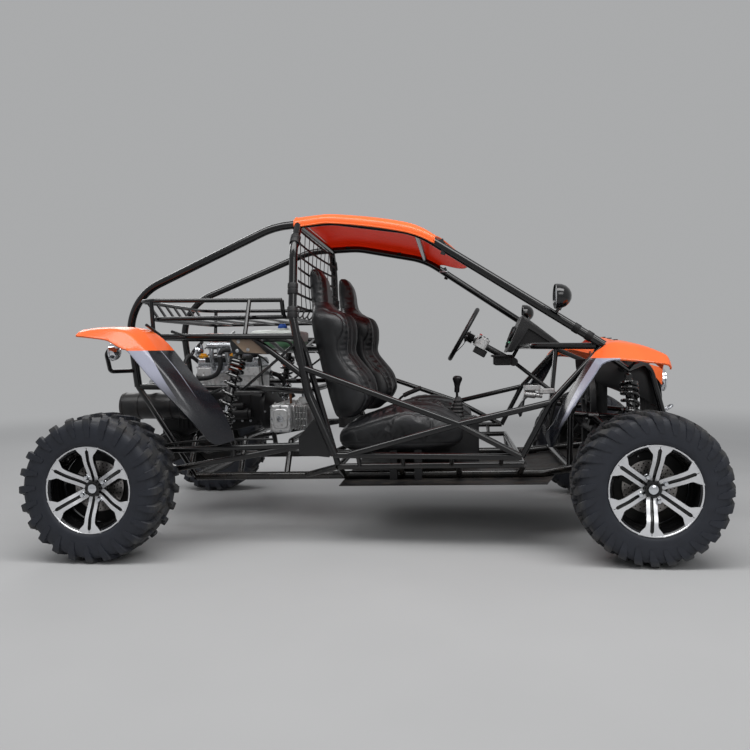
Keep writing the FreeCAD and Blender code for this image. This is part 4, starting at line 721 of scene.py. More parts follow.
REAR_LUG = [(5, 11, 10, 16), (46, 7.5, 11, 16), (46.1, 6.2, 13, 16), (88, 3, 14, 18),
    (88.1, 1.8, 16, 20), (122, 0, 16, 20), (150, -1.2, 15, 17), (150.1, -1.2, 12, 13),
    (172, -2, 11, 9), (172.1, -2, 9, 7), (190, -2.6, 8, 3)]
FRONT_SHOULDER = [(50, 3.4, 13, 16), (80, 1.2, 16, 16), (100, -0.6, 17, 16), (120, -2.2, 16, 13),
    (120.1, -2.2, 14, 10), (146, -4, 12, 7), (146.1, -4, 9, 5), (160, -4.8, 8, 2.5)]
FRONT_CENTRE = [(3, 9.6, 11, 16), (26, 7.4, 13, 16), (26.1, 6.6, 14, 16), (44, 4.8, 14, 16)]


def tyre(middle, side, half, count, rear):
    """Carcass and both sides' lugs, one side's half a pitch after the other's."""
    part = carcass(half, middle, side)
    pitch = 2 * math.pi / count
    rows = [REAR_LUG] if rear else [FRONT_SHOULDER, FRONT_CENTRE]
    for mirror, phase in ((1, 0.0), (-1, pitch / 2)):
        for row in rows:
            part += lugs(half, middle, side, count, row, mirror, phase)
    return part


FACE = [(30, -58), (48, -54), (70, -44), (92, -31), (112, -19), (128, -12), (146, -8), (160, -5),
    (172, -2.5), (186, -0.4)]


def face_at(radius, edge):
    """How far out the spokes' faces are at a radius: flat near the lip, then down to the hub."""
    return edge + np.interp(radius, *np.transpose(FACE))


def side_turn(side, angles):
    """The far wheels carry the same faces, seen from the other side."""
    return angles if side == NEAR else math.pi - angles


def at_spokes(radius, across, out, middle, side, phase, finishes=0):
    """A form on each of six spokes, through sections at radii along the spoke's own line."""
    away, turn = np.hypot(radius[:, None], across), np.arctan2(across, radius[:, None])
    spokes = side_turn(side, np.radians(phase) + np.arange(6) * math.pi / 3)
    angle = spokes[:, None, None] + turn
    part = loft(on_wheel(out, away, angle, middle, side), finishes)
    part.spots = spread(angle, away, out).reshape(-1, 3)
    return part


def spoke_bars(edge, middle, side, phase):
    """Six pairs of bars. At each radius a bar is a chamfered box between two distances from
    the spoke's own line; its outer side flares into the lip."""
    radius = np.array([36, 42, 50, 62, 80, 98, 112, 128, 142, 152, 160, 168, 174, 176, 186.5])
    inner = np.interp(radius, [36, 50, 120, 168, 174, 176, 186.5], [4, 5.6, 6.2, 6.6, 4, 0, 0])
    outer = np.interp(radius, [36, 42, 80, 142, 152, 168, 186.5], [20.5, 23.4, 24, 25, 28, 43, 57])
    face = face_at(radius, edge)
    deep = np.interp(radius, [34, 120, 172, 186.5], [20, 24, 20, 12])
    across = spread(inner, inner, inner + 1.3, outer - 1.3, outer, outer - 1.5)
    out = spread(face - deep, face - 1.3, face, face, face - 1.3, face - deep)
    return joined([at_spokes(radius, hand * across, out, middle, side, phase, [0, 0, 1, 0, 0, 0])
        for hand in (1, -1)])


def groove_floor(edge, middle, side, phase):
    """The dark web between the two bars of each spoke."""
    radius = np.array([36, 60, 90, 112, 128, 150, 174])
    face = face_at(radius, edge)
    out = spread(face - 9, face - 9, face - 18, face - 18)
    return at_spokes(radius, floats([-7.5, 7.5, 7.5, -7.5]), out, middle, side, phase)


def turned_ring(profile, middle, side, finishes=0, closed=True, segments=120):
    """A profile of (outwards, radius) points turned round the axle."""
    profile = floats(profile)
    angle = full_turn(segments)[:, None]
    return grid(on_wheel(*profile.T, angle, middle, side), True, closed, finishes,
        spread(angle, profile[:, 1], profile[:, 0]))


def barrel(edge, middle, side):
    """The rim's barrel with both lips; the front of the outer lip is machined bright."""
    e = edge
    profile = [(e - 9, 178.2), (e - 9, 191), (e - 7, 192.3), (e - 2, 192.3), (e, 190.8),
        (e, 187.4), (e - 2.5, 185.4), (e - 6, 182), (e - 10, 178), (e - 16, 176), (e - 24, 174.5),
        (e - 34, 172), (e - 48, 165), (e - 60, 158), (e - 96, 158), (e - 112, 168), (8 - e, 171),
        (2 - e, 182), (-e, 190), (-e, 192.3), (9 - e, 192.3), (9 - e, 178), (30 - e, 177.6),
        (e - 110, 176), (e - 92, 165), (e - 60, 165), (e - 46, 176)]
    finishes = np.zeros(len(profile), int)
    finishes[3:6] = 1
    return turned_ring(profile, middle, side, finishes)


def drilled_disc(middle, side, out):
    """A brake disc with three rows of holes. Each hole sits in its own cell: the two faces run
    from the cell's edge to the hole's edge, and the hole has a wall."""
    hub, rim, thick = 52, 114, 5
    rows, count, steps = 3, 30, 16
    depth = (rim - hub - 16) / rows
    turn = full_turn(steps) + math.pi / steps
    small = spread(np.cos(turn), np.sin(turn))
    square = small / np.max(np.abs(small), axis=1, keepdims=True)
    parts = []
    for row in range(rows):
        r0 = hub + 12 + (row + 0.5) * depth
        start = np.arange(count) * 2 * math.pi / count + row * math.pi / count * 0.66
        cell_r = r0 + square[:, 0] * depth / 2
        cell_a = square[:, 1] * math.pi / count
        hole_r = r0 + small[:, 0] * 3.6
        hole_a = small[:, 1] * 3.6 / r0
        radius = np.stack([cell_r, hole_r, hole_r, cell_r])[None]
        angle = start[:, None, None] + np.stack([cell_a, hole_a, hole_a, cell_a])[None]
        level = np.array([out, out, out - thick, out - thick])[None, :, None]
        table = on_wheel(level, radius, angle, middle, side)
        spots = spread(angle, radius, level)
        parts += [grid(table[k], wrap_v=True, spots=spots[k]) for k in range(count)]
    inner = [(out, hub), (out, hub + 12), (out - thick, hub + 12), (out - thick, hub)]
    outer = [(out, rim - 4), (out - 0.8, rim), (out - thick + 0.8, rim), (out - thick, rim - 4)]
    return joined(parts + [turned_ring(ring, middle, side, segments=60)
        for ring in (inner, outer)])


def rim(middle, side, edge, phase):
    """Finishes: 0 black, 1 machined, 2 chrome, 3 brake steel."""
    face = edge - HUB_DEPTH

    def turned(profile, segments):
        """A profile measured from the hub's face."""
        return turned_ring(floats(profile) + (face, 0), middle, side, closed=False,
            segments=segments)
    part = barrel(edge, middle, side) + spoke_bars(edge, middle, side, phase)
    part += groove_floor(edge, middle, side, phase)
    part += turned([(-40, 0), (-40, 50), (-30, 62), (-14, 63), (-10, 60), (-10, 36), (-4, 34),
        (-4, 0)], 48)
    part += turned([(-6, 37), (8, 36), (13, 33), (13, 26), (8, 22.5), (5, 0)], 40)
    part += turned([(7, 22), (13, 20), (16, 15), (17.6, 8), (18, 0)], 40).painted(2)
    for quarter in range(4):
        angle = side_turn(side, math.radians(phase - 60) + quarter * math.pi / 2)
        nut = [(0, 0), (0, 13), (10, 13), (12, 10.5), (22, 10), (25, 8), (27, 0)]
        part += lathe(nut, on_wheel(face - 10, 56, angle, middle, side), side * Y, 12).painted(2)
    part += turned([(-40, 34), (-58, 34), (-58, 54), (-69, 54)], 36)
    part += drilled_disc(middle, side, edge - DISC_DEPTH).painted(3)
    valve = on_wheel(edge - 22, 160, side_turn(side, math.radians(phase + 32)), middle, side)
    return part + bar(valve, valve + side * 22 * Y, 4, 10)


for axle, hand, side, middle, width, edge, phase, count in PLACES:
    body = "%s_%s_wheel" % (axle, hand)
    piece("tyre_%s_%s" % (axle, hand), tyre(middle, side, width / 2, count, axle == "rear"),
        "tyre_rubber", body, ["%s_%s_tyre" % (axle, hand)])
    piece("rim_%s_%s" % (axle, hand), rim(middle, side, edge, phase),
        ["wheel_black", "machined", "chrome", "brake_steel"], body, ["%s_%s_rim" % (axle, hand)])


def backing(middle, side, out):
    """A pressed plate that stands behind a brake disc: a dished ring with a rolled edge."""
    profile = floats([(-10, 56), (-8, 60), (-8, 96), (-14, 108), (-14, 158), (-10, 161),
        (-12, 163), (-17, 161), (-17, 104), (-12, 56)])
    return turned_ring(profile + (out, 0), middle, side, segments=60)


for axle, hand, side, middle, _, edge, *_ in PLACES:
    piece("disc_guard_%s_%s" % (axle, hand), backing(middle, side, edge - DISC_DEPTH),
        "satin_black", "chassis" if axle == "rear" else "front_%s_knuckle" % hand)


# ---- Wings, canopy and nose: tables of points read off the frame's own panels ----
WIDEST = 18.0    # the widest column of a wing's mesh


def smooth_sheet(table, corner):
    """A table of points made smooth along its rows and given rounded folds between columns;
    the spot is (share across, share along, 0)."""
    fine = eased_corners(through(table, 6), corner)
    room = np.linalg.norm(np.diff(fine, axis=1), axis=-1)
    across = np.concatenate([np.zeros((len(fine), 1)), np.cumsum(room, axis=1)], axis=1)
    return fine, spread(across / across[:, -1:], np.linspace(0, 1, len(fine))[:, None], 0)


def fine_columns(table, spots):
    """The same sheet with its wide columns split evenly, so that it bends well."""
    gaps = np.linalg.norm(np.diff(table, axis=1), axis=-1).max(axis=0)
    counts = np.maximum(1, np.ceil(gaps / WIDEST).astype(int))
    places = np.concatenate([k + np.arange(c) / c for k, c in enumerate(counts)] + [[len(counts)]])
    low = np.minimum(places.astype(int), len(counts) - 1)
    share = (places - low)[:, None]
    return [rows[:, low] * (1 - share) + rows[:, low + 1] * share for rows in (table, spots)]


def wing(table, corner, thickness, lip):
    """A moulded wing: the sheet, its wall, and a rolled lip along its outer edge."""
    fine, spots = smooth_sheet(table, corner)
    edge = fine[:, -1]
    turned = unit(edge - fine[:, -2])
    inward = -normals_of(fine)[:, -1]
    if np.sum(inward[:, 2]) > 0:
        inward = -inward
    roll = [edge + turned * lip * a + inward * lip * b for a,
        b in ((0.3, 0.1), (0.42, 0.45), (0.36, 0.9))]
    fine = np.concatenate([fine, np.stack(roll, 1)], axis=1)
    spots = np.concatenate([spots, np.repeat(spots[:, -1:], 3, axis=1)], axis=1)
    fine, spots = fine_columns(fine, spots)
    return facing_shell(fine, thickness, 2, inside=0, spots=spots)


FRONT_WING = FRONT * X + floats([[(80, 697, 820), (82, 700, 838), (84, 745, 862), (86, 798, 844),
    (84, 813, 826)], [(58, 660, 846), (62, 664, 880), (76, 742, 884), (80, 790, 870),
    (78, 828, 838)], [(26, 636, 874), (30, 640, 915), (58, 740, 897), (62, 780, 890),
    (52, 838, 851)], [(-24, 632, 890), (-20, 636, 935), (-18, 742, 926), (-16, 772, 915),
    (-54, 850, 864)], [(-112, 650, 908), (-110, 655, 952), (-138, 745, 942), (-140, 768, 930),
    (-148, 856, 872)], [(-160, 706, 884), (-159, 712, 921), (-192, 748, 919), (-200, 770, 901),
    (-208, 857, 855)], [(-200, 718, 832), (-200, 726, 858), (-238, 750, 878), (-240, 772, 866),
    (-242, 858, 806)], [(-281, 718, 690), (-281, 728, 705), (-342, 752, 708), (-338, 774, 702),
    (-314, 853, 696)], [(-420, 730, 552), (-420, 738, 560), (-406, 750, 566), (-398, 772, 566),
    (-370, 838, 600)], [(-412, 730, 484), (-412, 736, 486), (-404, 744, 486), (-398, 758, 490),
    (-386, 790, 524)]])
REAR_WING = REAR * X + floats([[(-112, 690, 1028), (-114, 740, 1034), (-115, 790, 1021),
    (-114, 820, 1006)], [(-50, 664, 1038), (-46, 730, 1042), (-46, 794, 1031), (-44, 832, 998)],
    [(20, 640, 1042), (26, 720, 1044), (30, 800, 1034), (34, 841, 986)],
    [(92, 624, 1040), (88, 720, 1042), (82, 806, 1028), (68, 851, 972)],
    [(150, 612, 1028), (142, 722, 1034), (128, 811, 1012), (98, 857, 956)],
    [(206, 606, 990), (194, 742, 992), (172, 820, 978), (124, 860, 944)],
    [(262, 608, 934), (242, 758, 938), (214, 828, 934), (152, 860, 928)],
    [(364, 640, 822), (352, 758, 820), (318, 829, 810), (250, 860, 812)],
    [(492, 680, 693), (446, 766, 690), (400, 827, 690), (352, 855, 704)],
    [(548, 692, 598), (500, 762, 592), (468, 805, 592), (434, 835, 608)],
    [(578, 694, 510), (536, 748, 500), (512, 774, 500), (494, 789, 514)]])

# the wings' black flaps carry a painted sky reflection and a painted highlight along the fold
piece("front_wings", both(wing(FRONT_WING, 13, 4, 9)), "front_livery",
    stands_for=["front_fenders"])
piece("rear_wings", both(wing(REAR_WING, 13, 4, 9)), "rear_livery", stands_for=["rear_fenders"])


ROOF_LINE = floats([(-390, 1541), (-280, 1552), (-190, 1555), (0, 1528), (160, 1494), (240, 1466),
    (300, 1434), (380, 1386), (480, 1330)])
ROOF_ROWS = floats([(-372, 478, -6, 40), (-280, 488, -3, 37), (-190, 496, 0, 35), (0, 532, 14, 38),
    (160, 562, 40, 40), (240, 574, 86, 36), (300, 585, 160, 26)])


def canopy():
    """The roof: rows across the car. Its height is a side line plus a crown, which is mostly a
    steep-sided arch, (1 - share^14)^0.5, and partly a parabola. The front edge leans forwards
    in the middle and follows the side line down; two shallow flutes run along it, and a
    rounded flange hangs outside each rail."""
    rows = through(ROOF_ROWS, 6)
    line = through(ROOF_LINE, 8)
    share = np.sin(np.linspace(math.pi / 2, -math.pi / 2, 69))
    parabola = 1 - share ** 2
    arch = 0.82 * np.sqrt(1 - np.abs(share) ** 14) + 0.18 * parabola
    x = rows[:, :1] + rows[:, 2:3] * parabola
    flute = sum(np.exp(-((share - at) / 0.035) ** 2) for at in (-0.45, 0.45))
    fade = np.sin(np.linspace(0, math.pi, len(rows)))[:, None] ** 0.5
    z = np.interp(x, line[:, 0], line[:, 1]) + rows[:, 3:4] * arch + 2.0 * flute * fade
    table = spread(x, rows[:, 1:2] * share, np.minimum(z, 1589))
    flange = [(5, 9), (12, 9), (19, 4), (23.5, -5), (24.5, -16), (24.5, -26)]
    sides = [np.stack([table[:, end] + (0, hand * out, down) for out, down in flange], 1) for end,
        hand in ((0, 1), (-1, -1))]
    return np.concatenate([sides[0][:, ::-1], table, sides[1]], axis=1)


roof = canopy()
# the canopy's and bonnet's undersides carry a painted glow for light through the plastic
piece("canopy", facing_shell(roof, 4, 2), ["plain_orange", "under_orange"],
    stands_for=["roof_panel"])
rim_path = np.concatenate([roof[:, 0], roof[-1, 1:], roof[::-1, -1][1:], roof[0, ::-1][1:-1]])
rim_path = np.concatenate([rim_path, rim_path[:1]]) - Z
piece("canopy_edge", sweep(rim_path, oblong(8, 8, 3), across=Z), "plain_orange")
clips = [slab((x - 13, y - 20, z - 8), (x + 13, y + 20, z), 5, 2) for x, y,
    z in ((-250, 462, 1550), (60, 510, 1512))]
piece("canopy_clips", both(joined(clips)), "satin_black")


def bonnet():
    """The hood between the wings: rows across, each a shallow parabola with a raised middle
    panel whose sides are two smooth steps."""
    rows = through(floats([(-104, 404, 936, 22), (-60, 400, 938, 26), (70, 330, 900, 22),
        (168, 250, 838, 16)]), 8)
    share = np.linspace(1, -1, 49)
    raised = 0.5 * (np.tanh((share + 0.5) / 0.05) - np.tanh((share - 0.5) / 0.05))
    x = FRONT + rows[:, :1] + 0 * share
    z = rows[:, 2:3] + rows[:, 3:4] * (1 - share ** 2) + 7 * raised
    return spread(x, rows[:, 1:2] * share, z)


piece("bonnet", facing_shell(bonnet(), 4, 2), ["plain_orange", "under_orange"],
    stands_for=["nose_panel"])
louvres = [slab((FRONT + x, y - 62, z), (FRONT + x + 12, y + 62, z + 5), 3, 1.6) for x,
    z in ((-66, 968), (-36, 963), (-6, 955), (24, 944)) for y in (-96, 96)]
piece("bonnet_louvres", joined(louvres), "moulded_plastic")


# ---- Bucket seats: a closed form through rings, swelled by cloth simulation, then seamed ----
BACK_RING = [(0, 1, 1), (0.3, 1, 0.94), (0.47, 1, 0.68), (0.58, 1, 0.2), (0.74, 1, -0.03),
    (0.9, 0.93, 0), (1, 0.72, 0), (1, 0.45, 0), (0.97, 0.18, 0), (0.84, 0.03, 0), (0.6, 0, 0),
    (0.3, -0.03, 0), (0, -0.04, 0)]
BACK_STATIONS = [(584, -176, -104, 2, 178), (592, -180, -78, 6, 192), (622, -190, -46, 14, 206),
    (660, -202, -26, 24, 214), (705, -216, -22, 34, 217), (780, -236, -54, 44, 218),
    (842, -252, -104, 48, 215), (905, -266, -146, 50, 213), (975, -282, -140, 60, 221),
    (1043, -294, -136, 62, 225), (1095, -302, -160, 50, 215), (1135, -308, -210, 26, 178),
    (1165, -313, -248, 8, 130), (1230, -320, -257, 4, 108), (1300, -326, -267, 2, 98),
    (1336, -328, -280, 0, 86), (1348, -322, -292, 0, 72)]
CUSHION_RING = [(0, 1, 1), (0.3, 1, 0.95), (0.5, 1, 0.7), (0.62, 1, 0.2), (0.78, 1, 0),
    (0.92, 0.95, 0), (1, 0.78, 0), (1, 0.4, 0), (0.97, 0.12, 0), (0.85, 0, 0), (0.4, 0, 0),
    (0, 0, 0)]
CUSHION_STATIONS = [(-184, 478, 512, 2, 190), (-172, 458, 532, 6, 206), (-140, 444, 552, 10, 220),
    (-80, 438, 574, 14, 230), (0, 436, 604, 20, 235), (80, 436, 630, 28, 237),
    (160, 436, 642, 32, 237), (240, 438, 638, 30, 233), (310, 444, 620, 22, 224),
    (376, 456, 594, 12, 212), (420, 472, 566, 4, 198), (434, 492, 542, 0, 186)]
SEAT_Y, DRIVER_LEAD = 272, 62


def ringed(ring, stations, upright, y, lead):
    """A closed form through rings: each ring's half is (share of the half width, share from
    the far face to the near face, share of the hollow), mirrored to the other side; the ends
    are closed by rings that shrink to their middles."""
    half = floats(ring)
    other = half[1:-1][::-1] * (-1, 1, 1)
    ring = np.concatenate([half, other])
    ring = through(np.concatenate([ring, ring[:1]]), 4)[:-1]
    row = through(floats(stations), 4)
    far, near, hollow, wide = (row[:, k:k + 1] for k in (1, 2, 3, 4))
    depth = far + (near - far) * ring[:, 1] - hollow * ring[:, 2]
    across, level = y + wide * ring[:, 0], row[:, :1]
    table = (spread(depth + lead, across, level) if upright else spread(level + lead, across,
        depth))
    for share in (0.5, 0.5, 0):
        ends = [end.mean(1, keepdims=True) * (1 - share) + end * share
            for end in (table[:1], table[-1:])]
        table = np.concatenate([ends[0], table, ends[1]])
    return grid(table, wrap_v=True)


def read(mesh, field):
    """A vector field of a mesh's points."""
    flat = np.empty(len(mesh.vertices) * 3, np.float32)
    mesh.vertices.foreach_get(field, flat)
    return flat.reshape(-1, 3).astype(float)


def coordinates(mesh):
    """All of a mesh's points, in millimetres."""
    return read(mesh, "co") / MM


def put(mesh, points):
    mesh.vertices.foreach_set("co", (points * MM).astype(np.float32).ravel())
    mesh.update()


def evaluated_mesh(thing):
    graph = bpy.context.evaluated_depsgraph_get()
    return bpy.data.meshes.new_from_object(thing.evaluated_get(graph))


def with_mesh(thing, mesh):
    thing.modifiers.clear()
    thing.data = mesh


def swollen(name, part, finish, stands_for, seams, most=16.0):
    """A padded piece: voxel mesh, cloth under pressure, each point moved by at most a cap,
    one subdivision, then seams(points, normals) gives how far each point is drawn in."""
    thing = piece(name, part, finish, stands_for=stands_for)
    thing.modifiers.new("even", "REMESH").voxel_size = 0.0085
    with_mesh(thing, evaluated_mesh(thing))
    rest = coordinates(thing.data)
    cloth = thing.modifiers.new("air", "CLOTH").settings
    cloth.use_pressure, cloth.uniform_pressure_force = True, 4.0
    cloth.effector_weights.gravity = 0.0
    cloth.quality = 4
    for number in range(1, 21):
        bpy.context.scene.frame_set(number)
    moved = coordinates(evaluated_mesh(thing)) - rest
    reach = np.linalg.norm(moved, axis=1, keepdims=True)
    rest = rest + moved * np.minimum(1, most / np.maximum(reach, 1e-9))
    thing.modifiers.clear()
    bpy.context.scene.frame_set(1)
    put(thing.data, rest)
    finer = thing.modifiers.new("finer", "SUBSURF")
    finer.levels = finer.render_levels = 1
    with_mesh(thing, evaluated_mesh(thing))
    points = coordinates(thing.data)
    normals = read(thing.data, "normal")
    put(thing.data, points - normals * seams(points, normals)[:, None])
    thing.data.shade_smooth()
    thing.data.materials.clear()
    thing.data.materials.append(FINISH[finish])
    return thing


def groove(distance, width):
    """A groove's depth share at a distance from its line."""
    return np.exp(-(distance / width) ** 2)


def back_seams(y):
    """Draws in the seams of a seat back: along both bolsters, round the neck, and soft pleats
    across the hollow; small puckers run along the bolster seams."""
    table = floats(BACK_STATIONS)

    def rule(points, normals):
        z = points[:, 2]
        wide = np.interp(z, table[:, 0], table[:, 4])
        share = np.abs(points[:, 1] - y) / wide
        front = np.clip(normals[:, 0] * 3 + 0.6, 0, 1)
        outer = groove((share - 0.9) * wide, 3.2) * front * 4.4
        inner = groove((share - 0.53) * wide, 3.6) * front * 3.0 * (z < 1165)
        neck = groove(z - 1163, 3.2) * 2.6
        rows = np.abs((z + 20) % 74 - 37)
        pleats = groove(rows, 5.5) * 3.4 * front * (share < 0.5) * (z < 1110) * (z > 650)
        pucker = np.sin(z / 4.4) * 1.1 * groove((share - 0.84) * wide, 10) * front
        return outer + inner + neck + pleats + pucker
    return rule


def cushion_seams(y, lead):
    """Draws in a cushion's seams: along both bolsters, round its side, and channels that run
    from back to front over the middle."""
    table = floats(CUSHION_STATIONS)

    def rule(points, normals):
        x = points[:, 0] - lead
        wide = np.interp(x, table[:, 0], table[:, 4])
        share = np.abs(points[:, 1] - y) / wide
        top = np.clip(normals[:, 2] * 3 + 0.4, 0, 1)
        outer = groove((share - 0.95) * wide, 3.4) * top * 3.2
        inner = groove((share - 0.56) * wide, 3.6) * top * 3.0
        rows = np.abs((points[:, 1] - y + 21) % 42 - 21)
        channels = groove(rows, 5.0) * 3.6 * top * (share < 0.54)
        skirt = groove(points[:, 2] - 470, 3.0) * (np.abs(normals[:, 2]) < 0.6) * 2.4
        return outer + inner + channels + skirt
    return rule


for word, side, lead in (("driver", FAR, DRIVER_LEAD), ("passenger", NEAR, 0)):
    y = side * SEAT_Y
    swollen("seat_back_" + word, ringed(BACK_RING, BACK_STATIONS, True, y, lead), "leather",
        ["seat_backs"], back_seams(y))
    swollen("seat_cushion_" + word, ringed(CUSHION_RING, CUSHION_STATIONS, False, y, lead),
        "leather", ["seat_cushions"], cushion_seams(y, lead), most=12)


# ---- Engine, gearbox, final drive, tank, muffler ----
def rows_of(part, step, count):
    """Copies of a part spaced evenly along a step."""
    step = floats(step)
    return joined([part.mapped(lambda p, k=k: p + step * k) for k in range(count)])


def bulged(stations, corner, corners=28):
    """A casting along X: at each station (x, half width, low, high) its section is a rounded
    rectangle, the cosine and sine of the turn raised to the power corner."""
    turn = full_turn(corners)
    side, up = swelled(np.cos(turn), corner), swelled(np.sin(turn), corner)
    rows = floats(stations)
    rings = spread(rows[:, :1], rows[:, 1:2] * side, (rows[:, 2:3] + rows[:, 3:4]) / 2
        + (rows[:, 3:4] - rows[:, 2:3]) / 2 * up)
    return loft(rings)


def engine_body():
    """Crankcase, ribbed block, head and timing cover. Finishes: 0 cast, 1 dark, 2 bright."""
    case = bulged([(-1004, 120, 560, 690), (-996, 138, 548, 704), (-700, 138, 548, 704),
        (-655, 150, 530, 700), (-641, 150, 530, 700)], 0.22)
    block = bulged([(-992, 96, 690, 806), (-984, 104, 690, 806), (-668, 104, 690, 806),
        (-660, 96, 690, 806)], 0.16)
    head = bulged([(-1006, 118, 792, 836), (-1000, 124, 788, 838), (-660, 124, 788, 838),
        (-654, 118, 792, 836)], 0.14)
    sump = bulged([(-990, 96, 500, 556), (-978, 112, 494, 560), (-800, 112, 494, 560),
        (-700, 128, 520, 560), (-664, 128, 530, 560)], 0.22).painted(1)
    part = case.painted(1) + block + head + sump
    for side in (NEAR, FAR):
        ribs = rows_of(slab((-985, side * 104 - 5, 700), (-978, side * 104 + 5, 790), 2, 1.5),
            (32.5, 0, 0), 10)
        plugs = joined([lathe([(0, 0), (0, 13), (3, 15), (3, 17), (0, 18)], (x, side * 103, 745),
            (0, side, 0), 20) for x in (-948, -866, -784, -702)])
        flange = rows_of(bolt((-986, side * 126, 548), (0, side, 0), 10, 6), (46, 0, 0), 7)
        low_ribs = rows_of(slab((-980, side * 138 - 4, 566), (-974, side * 138 + 5, 690), 2, 1.5),
            (54, 0, 0), 6)
        part += ribs + plugs.painted(2) + flange.painted(2) + low_ribs.painted(1)
    cover = bulged([(-1018, 108, 556, 812), (-1012, 116, 548, 820), (-1000, 116, 548, 820)], 0.3)
    pulley = lathe([(-1018, 0), (-1018, 20), (-1024, 24), (-1024, 54), (-1031, 58), (-1035, 52),
        (-1039, 58), (-1045, 56), (-1045, 40), (-1036, 22), (-1036, 0)], (0, 0, 600), X,
        36).painted(1)
    return part + cover.painted(1) + pulley


def valve_cover():
    """Ribbed cover on a rail, with a dark coil tray and studs; its two yellow filler caps are made
    by filler_cap.
    """
    shape = bulged([(-1010, 92, 838, 878), (-1000, 106, 836, 890), (-670, 106, 836, 890),
        (-660, 92, 838, 878)], 0.34, 36)
    rail = bulged([(-1012, 112, 834, 843), (-660, 112, 834, 843)], 0.2)
    ribs = rows_of(slab((-975, -96, 884), (-970, 96, 894), 2, 1.5), (54, 0, 0), 6)
    tray = slab((-962, -114, 864), (-700, -84, 893), 6, 3) + slab((-960, -34, 888),
        (-706, 34, 900), 8, 3)
    studs = both(rows_of(bolt((-996, 106, 843), Z, 10, 8), (54, 0, 0), 7))
    return shape + rail + ribs + tray.painted(1) + studs.painted(2)


def filler_cap(x, y, z):
    """A fluted cap with a bar grip."""
    turn = full_turn(60)
    fluted = 1 + 0.05 * np.cos(12 * turn)
    radius = np.array([0, 22, 24, 24, 20, 0])[:, None] * fluted
    level = np.array([0, 0, 3, 14, 18, 18])[:, None] + 0 * turn
    table = spread(x + radius * np.cos(turn), y + radius * np.sin(turn), z + level)
    return grid(table, wrap_v=True) + slab((x - 17, y - 4, z + 17), (x + 17, y + 4, z + 26), 3, 2)


def intake():
    """Plenum on the near side with two bands, and four runners into the head on their flange."""
    plenum = lathe([(-930, 0), (-928, 14), (-922, 19), (-752, 19), (-744, 15), (-742, 0)],
        (0, -172, 954), X, 24)
    bands = joined([lathe([(x, 19), (x, 21), (x + 9, 21), (x + 9, 19)], (0, -172, 954), X, 24)
        for x in (-905, -770)])
    runners = joined([hose([(x, -172, 948), (x, -174, 915), (x, -158, 872), (x, -122, 826)], 12.5,
        12, 6) for x in (-905, -862, -819, -776)])
    flange = slab((-924, -132, 806), (-757, -122, 846), 4, 2, up=1)
    return plenum + bands + runners + flange


def side_fittings():
    """Alternator with its vents and bracket, oil filter, starter and solenoid on the near side of
    the engine.
    """
    alternator = lathe([(0, 0), (0, 30), (4, 44), (40, 47), (44, 44), (58, 44), (62, 40), (66, 14),
        (66, 0)], (-985, -205, 720), X, 30)
    vents = around(slab((-982, -209, 748), (-972, -201, 764), 2, 1), (-977, -205, 720), X, 12)
    bracket = sheet_metal([(-968, -205, 770), (-968, -120, 800), (-968, -120, 770),
        (-968, -205, 745)], 8, X)
    oil = lathe([(0, 0), (2, 30), (6, 36), (68, 37), (74, 34), (78, 20), (78, 0)],
        (-838, -138, 640), -Y, 30)
    starter = lathe([(0, 0), (0, 26), (6, 31), (88, 31), (92, 24), (104, 22), (104, 0)],
        (-796, -170, 590), X, 26)
    solenoid = lathe([(0, 0), (0, 16), (60, 18), (64, 12), (64, 0)], (-790, -186, 632), X, 20)
    return alternator + vents + bracket + (oil + starter + solenoid).painted(1)


def exhaust():
    """Four pipes down the far side, their collector, and the pipe under the engine."""
    pipes = joined([hose([(x, 122, 812), (x, 158, 806), (x - 8, 178, 760),
        (-900 + (x + 838) * 0.2, 176, 690)], 17, 14, 6) for x in (-960, -880, -798, -716)])
    down = hose([(-900, 176, 700), (-920, 170, 640), (-1010, 120, 600), (-1062, -60, 606),
        (-1052, -190, 632), (-1030, -214, 638), (-1012, -215, 640)], 20, 16, 8)
    return pipes + down


def bell_housing():
    """The clutch bell between engine and gearbox: a cone with a ring of bolts."""
    shape = bulged([(-652, 158, 512, 690), (-636, 166, 500, 700), (-624, 166, 500, 700),
        (-606, 150, 506, 670), (-560, 120, 520, 640)], 0.55, 40)
    ring = joined([bolt((-624, math.cos(a) * 158, 600 + math.sin(a) * 92), X, 12, 8)
        for a in full_turn(12)])
    return shape + ring.painted(2)


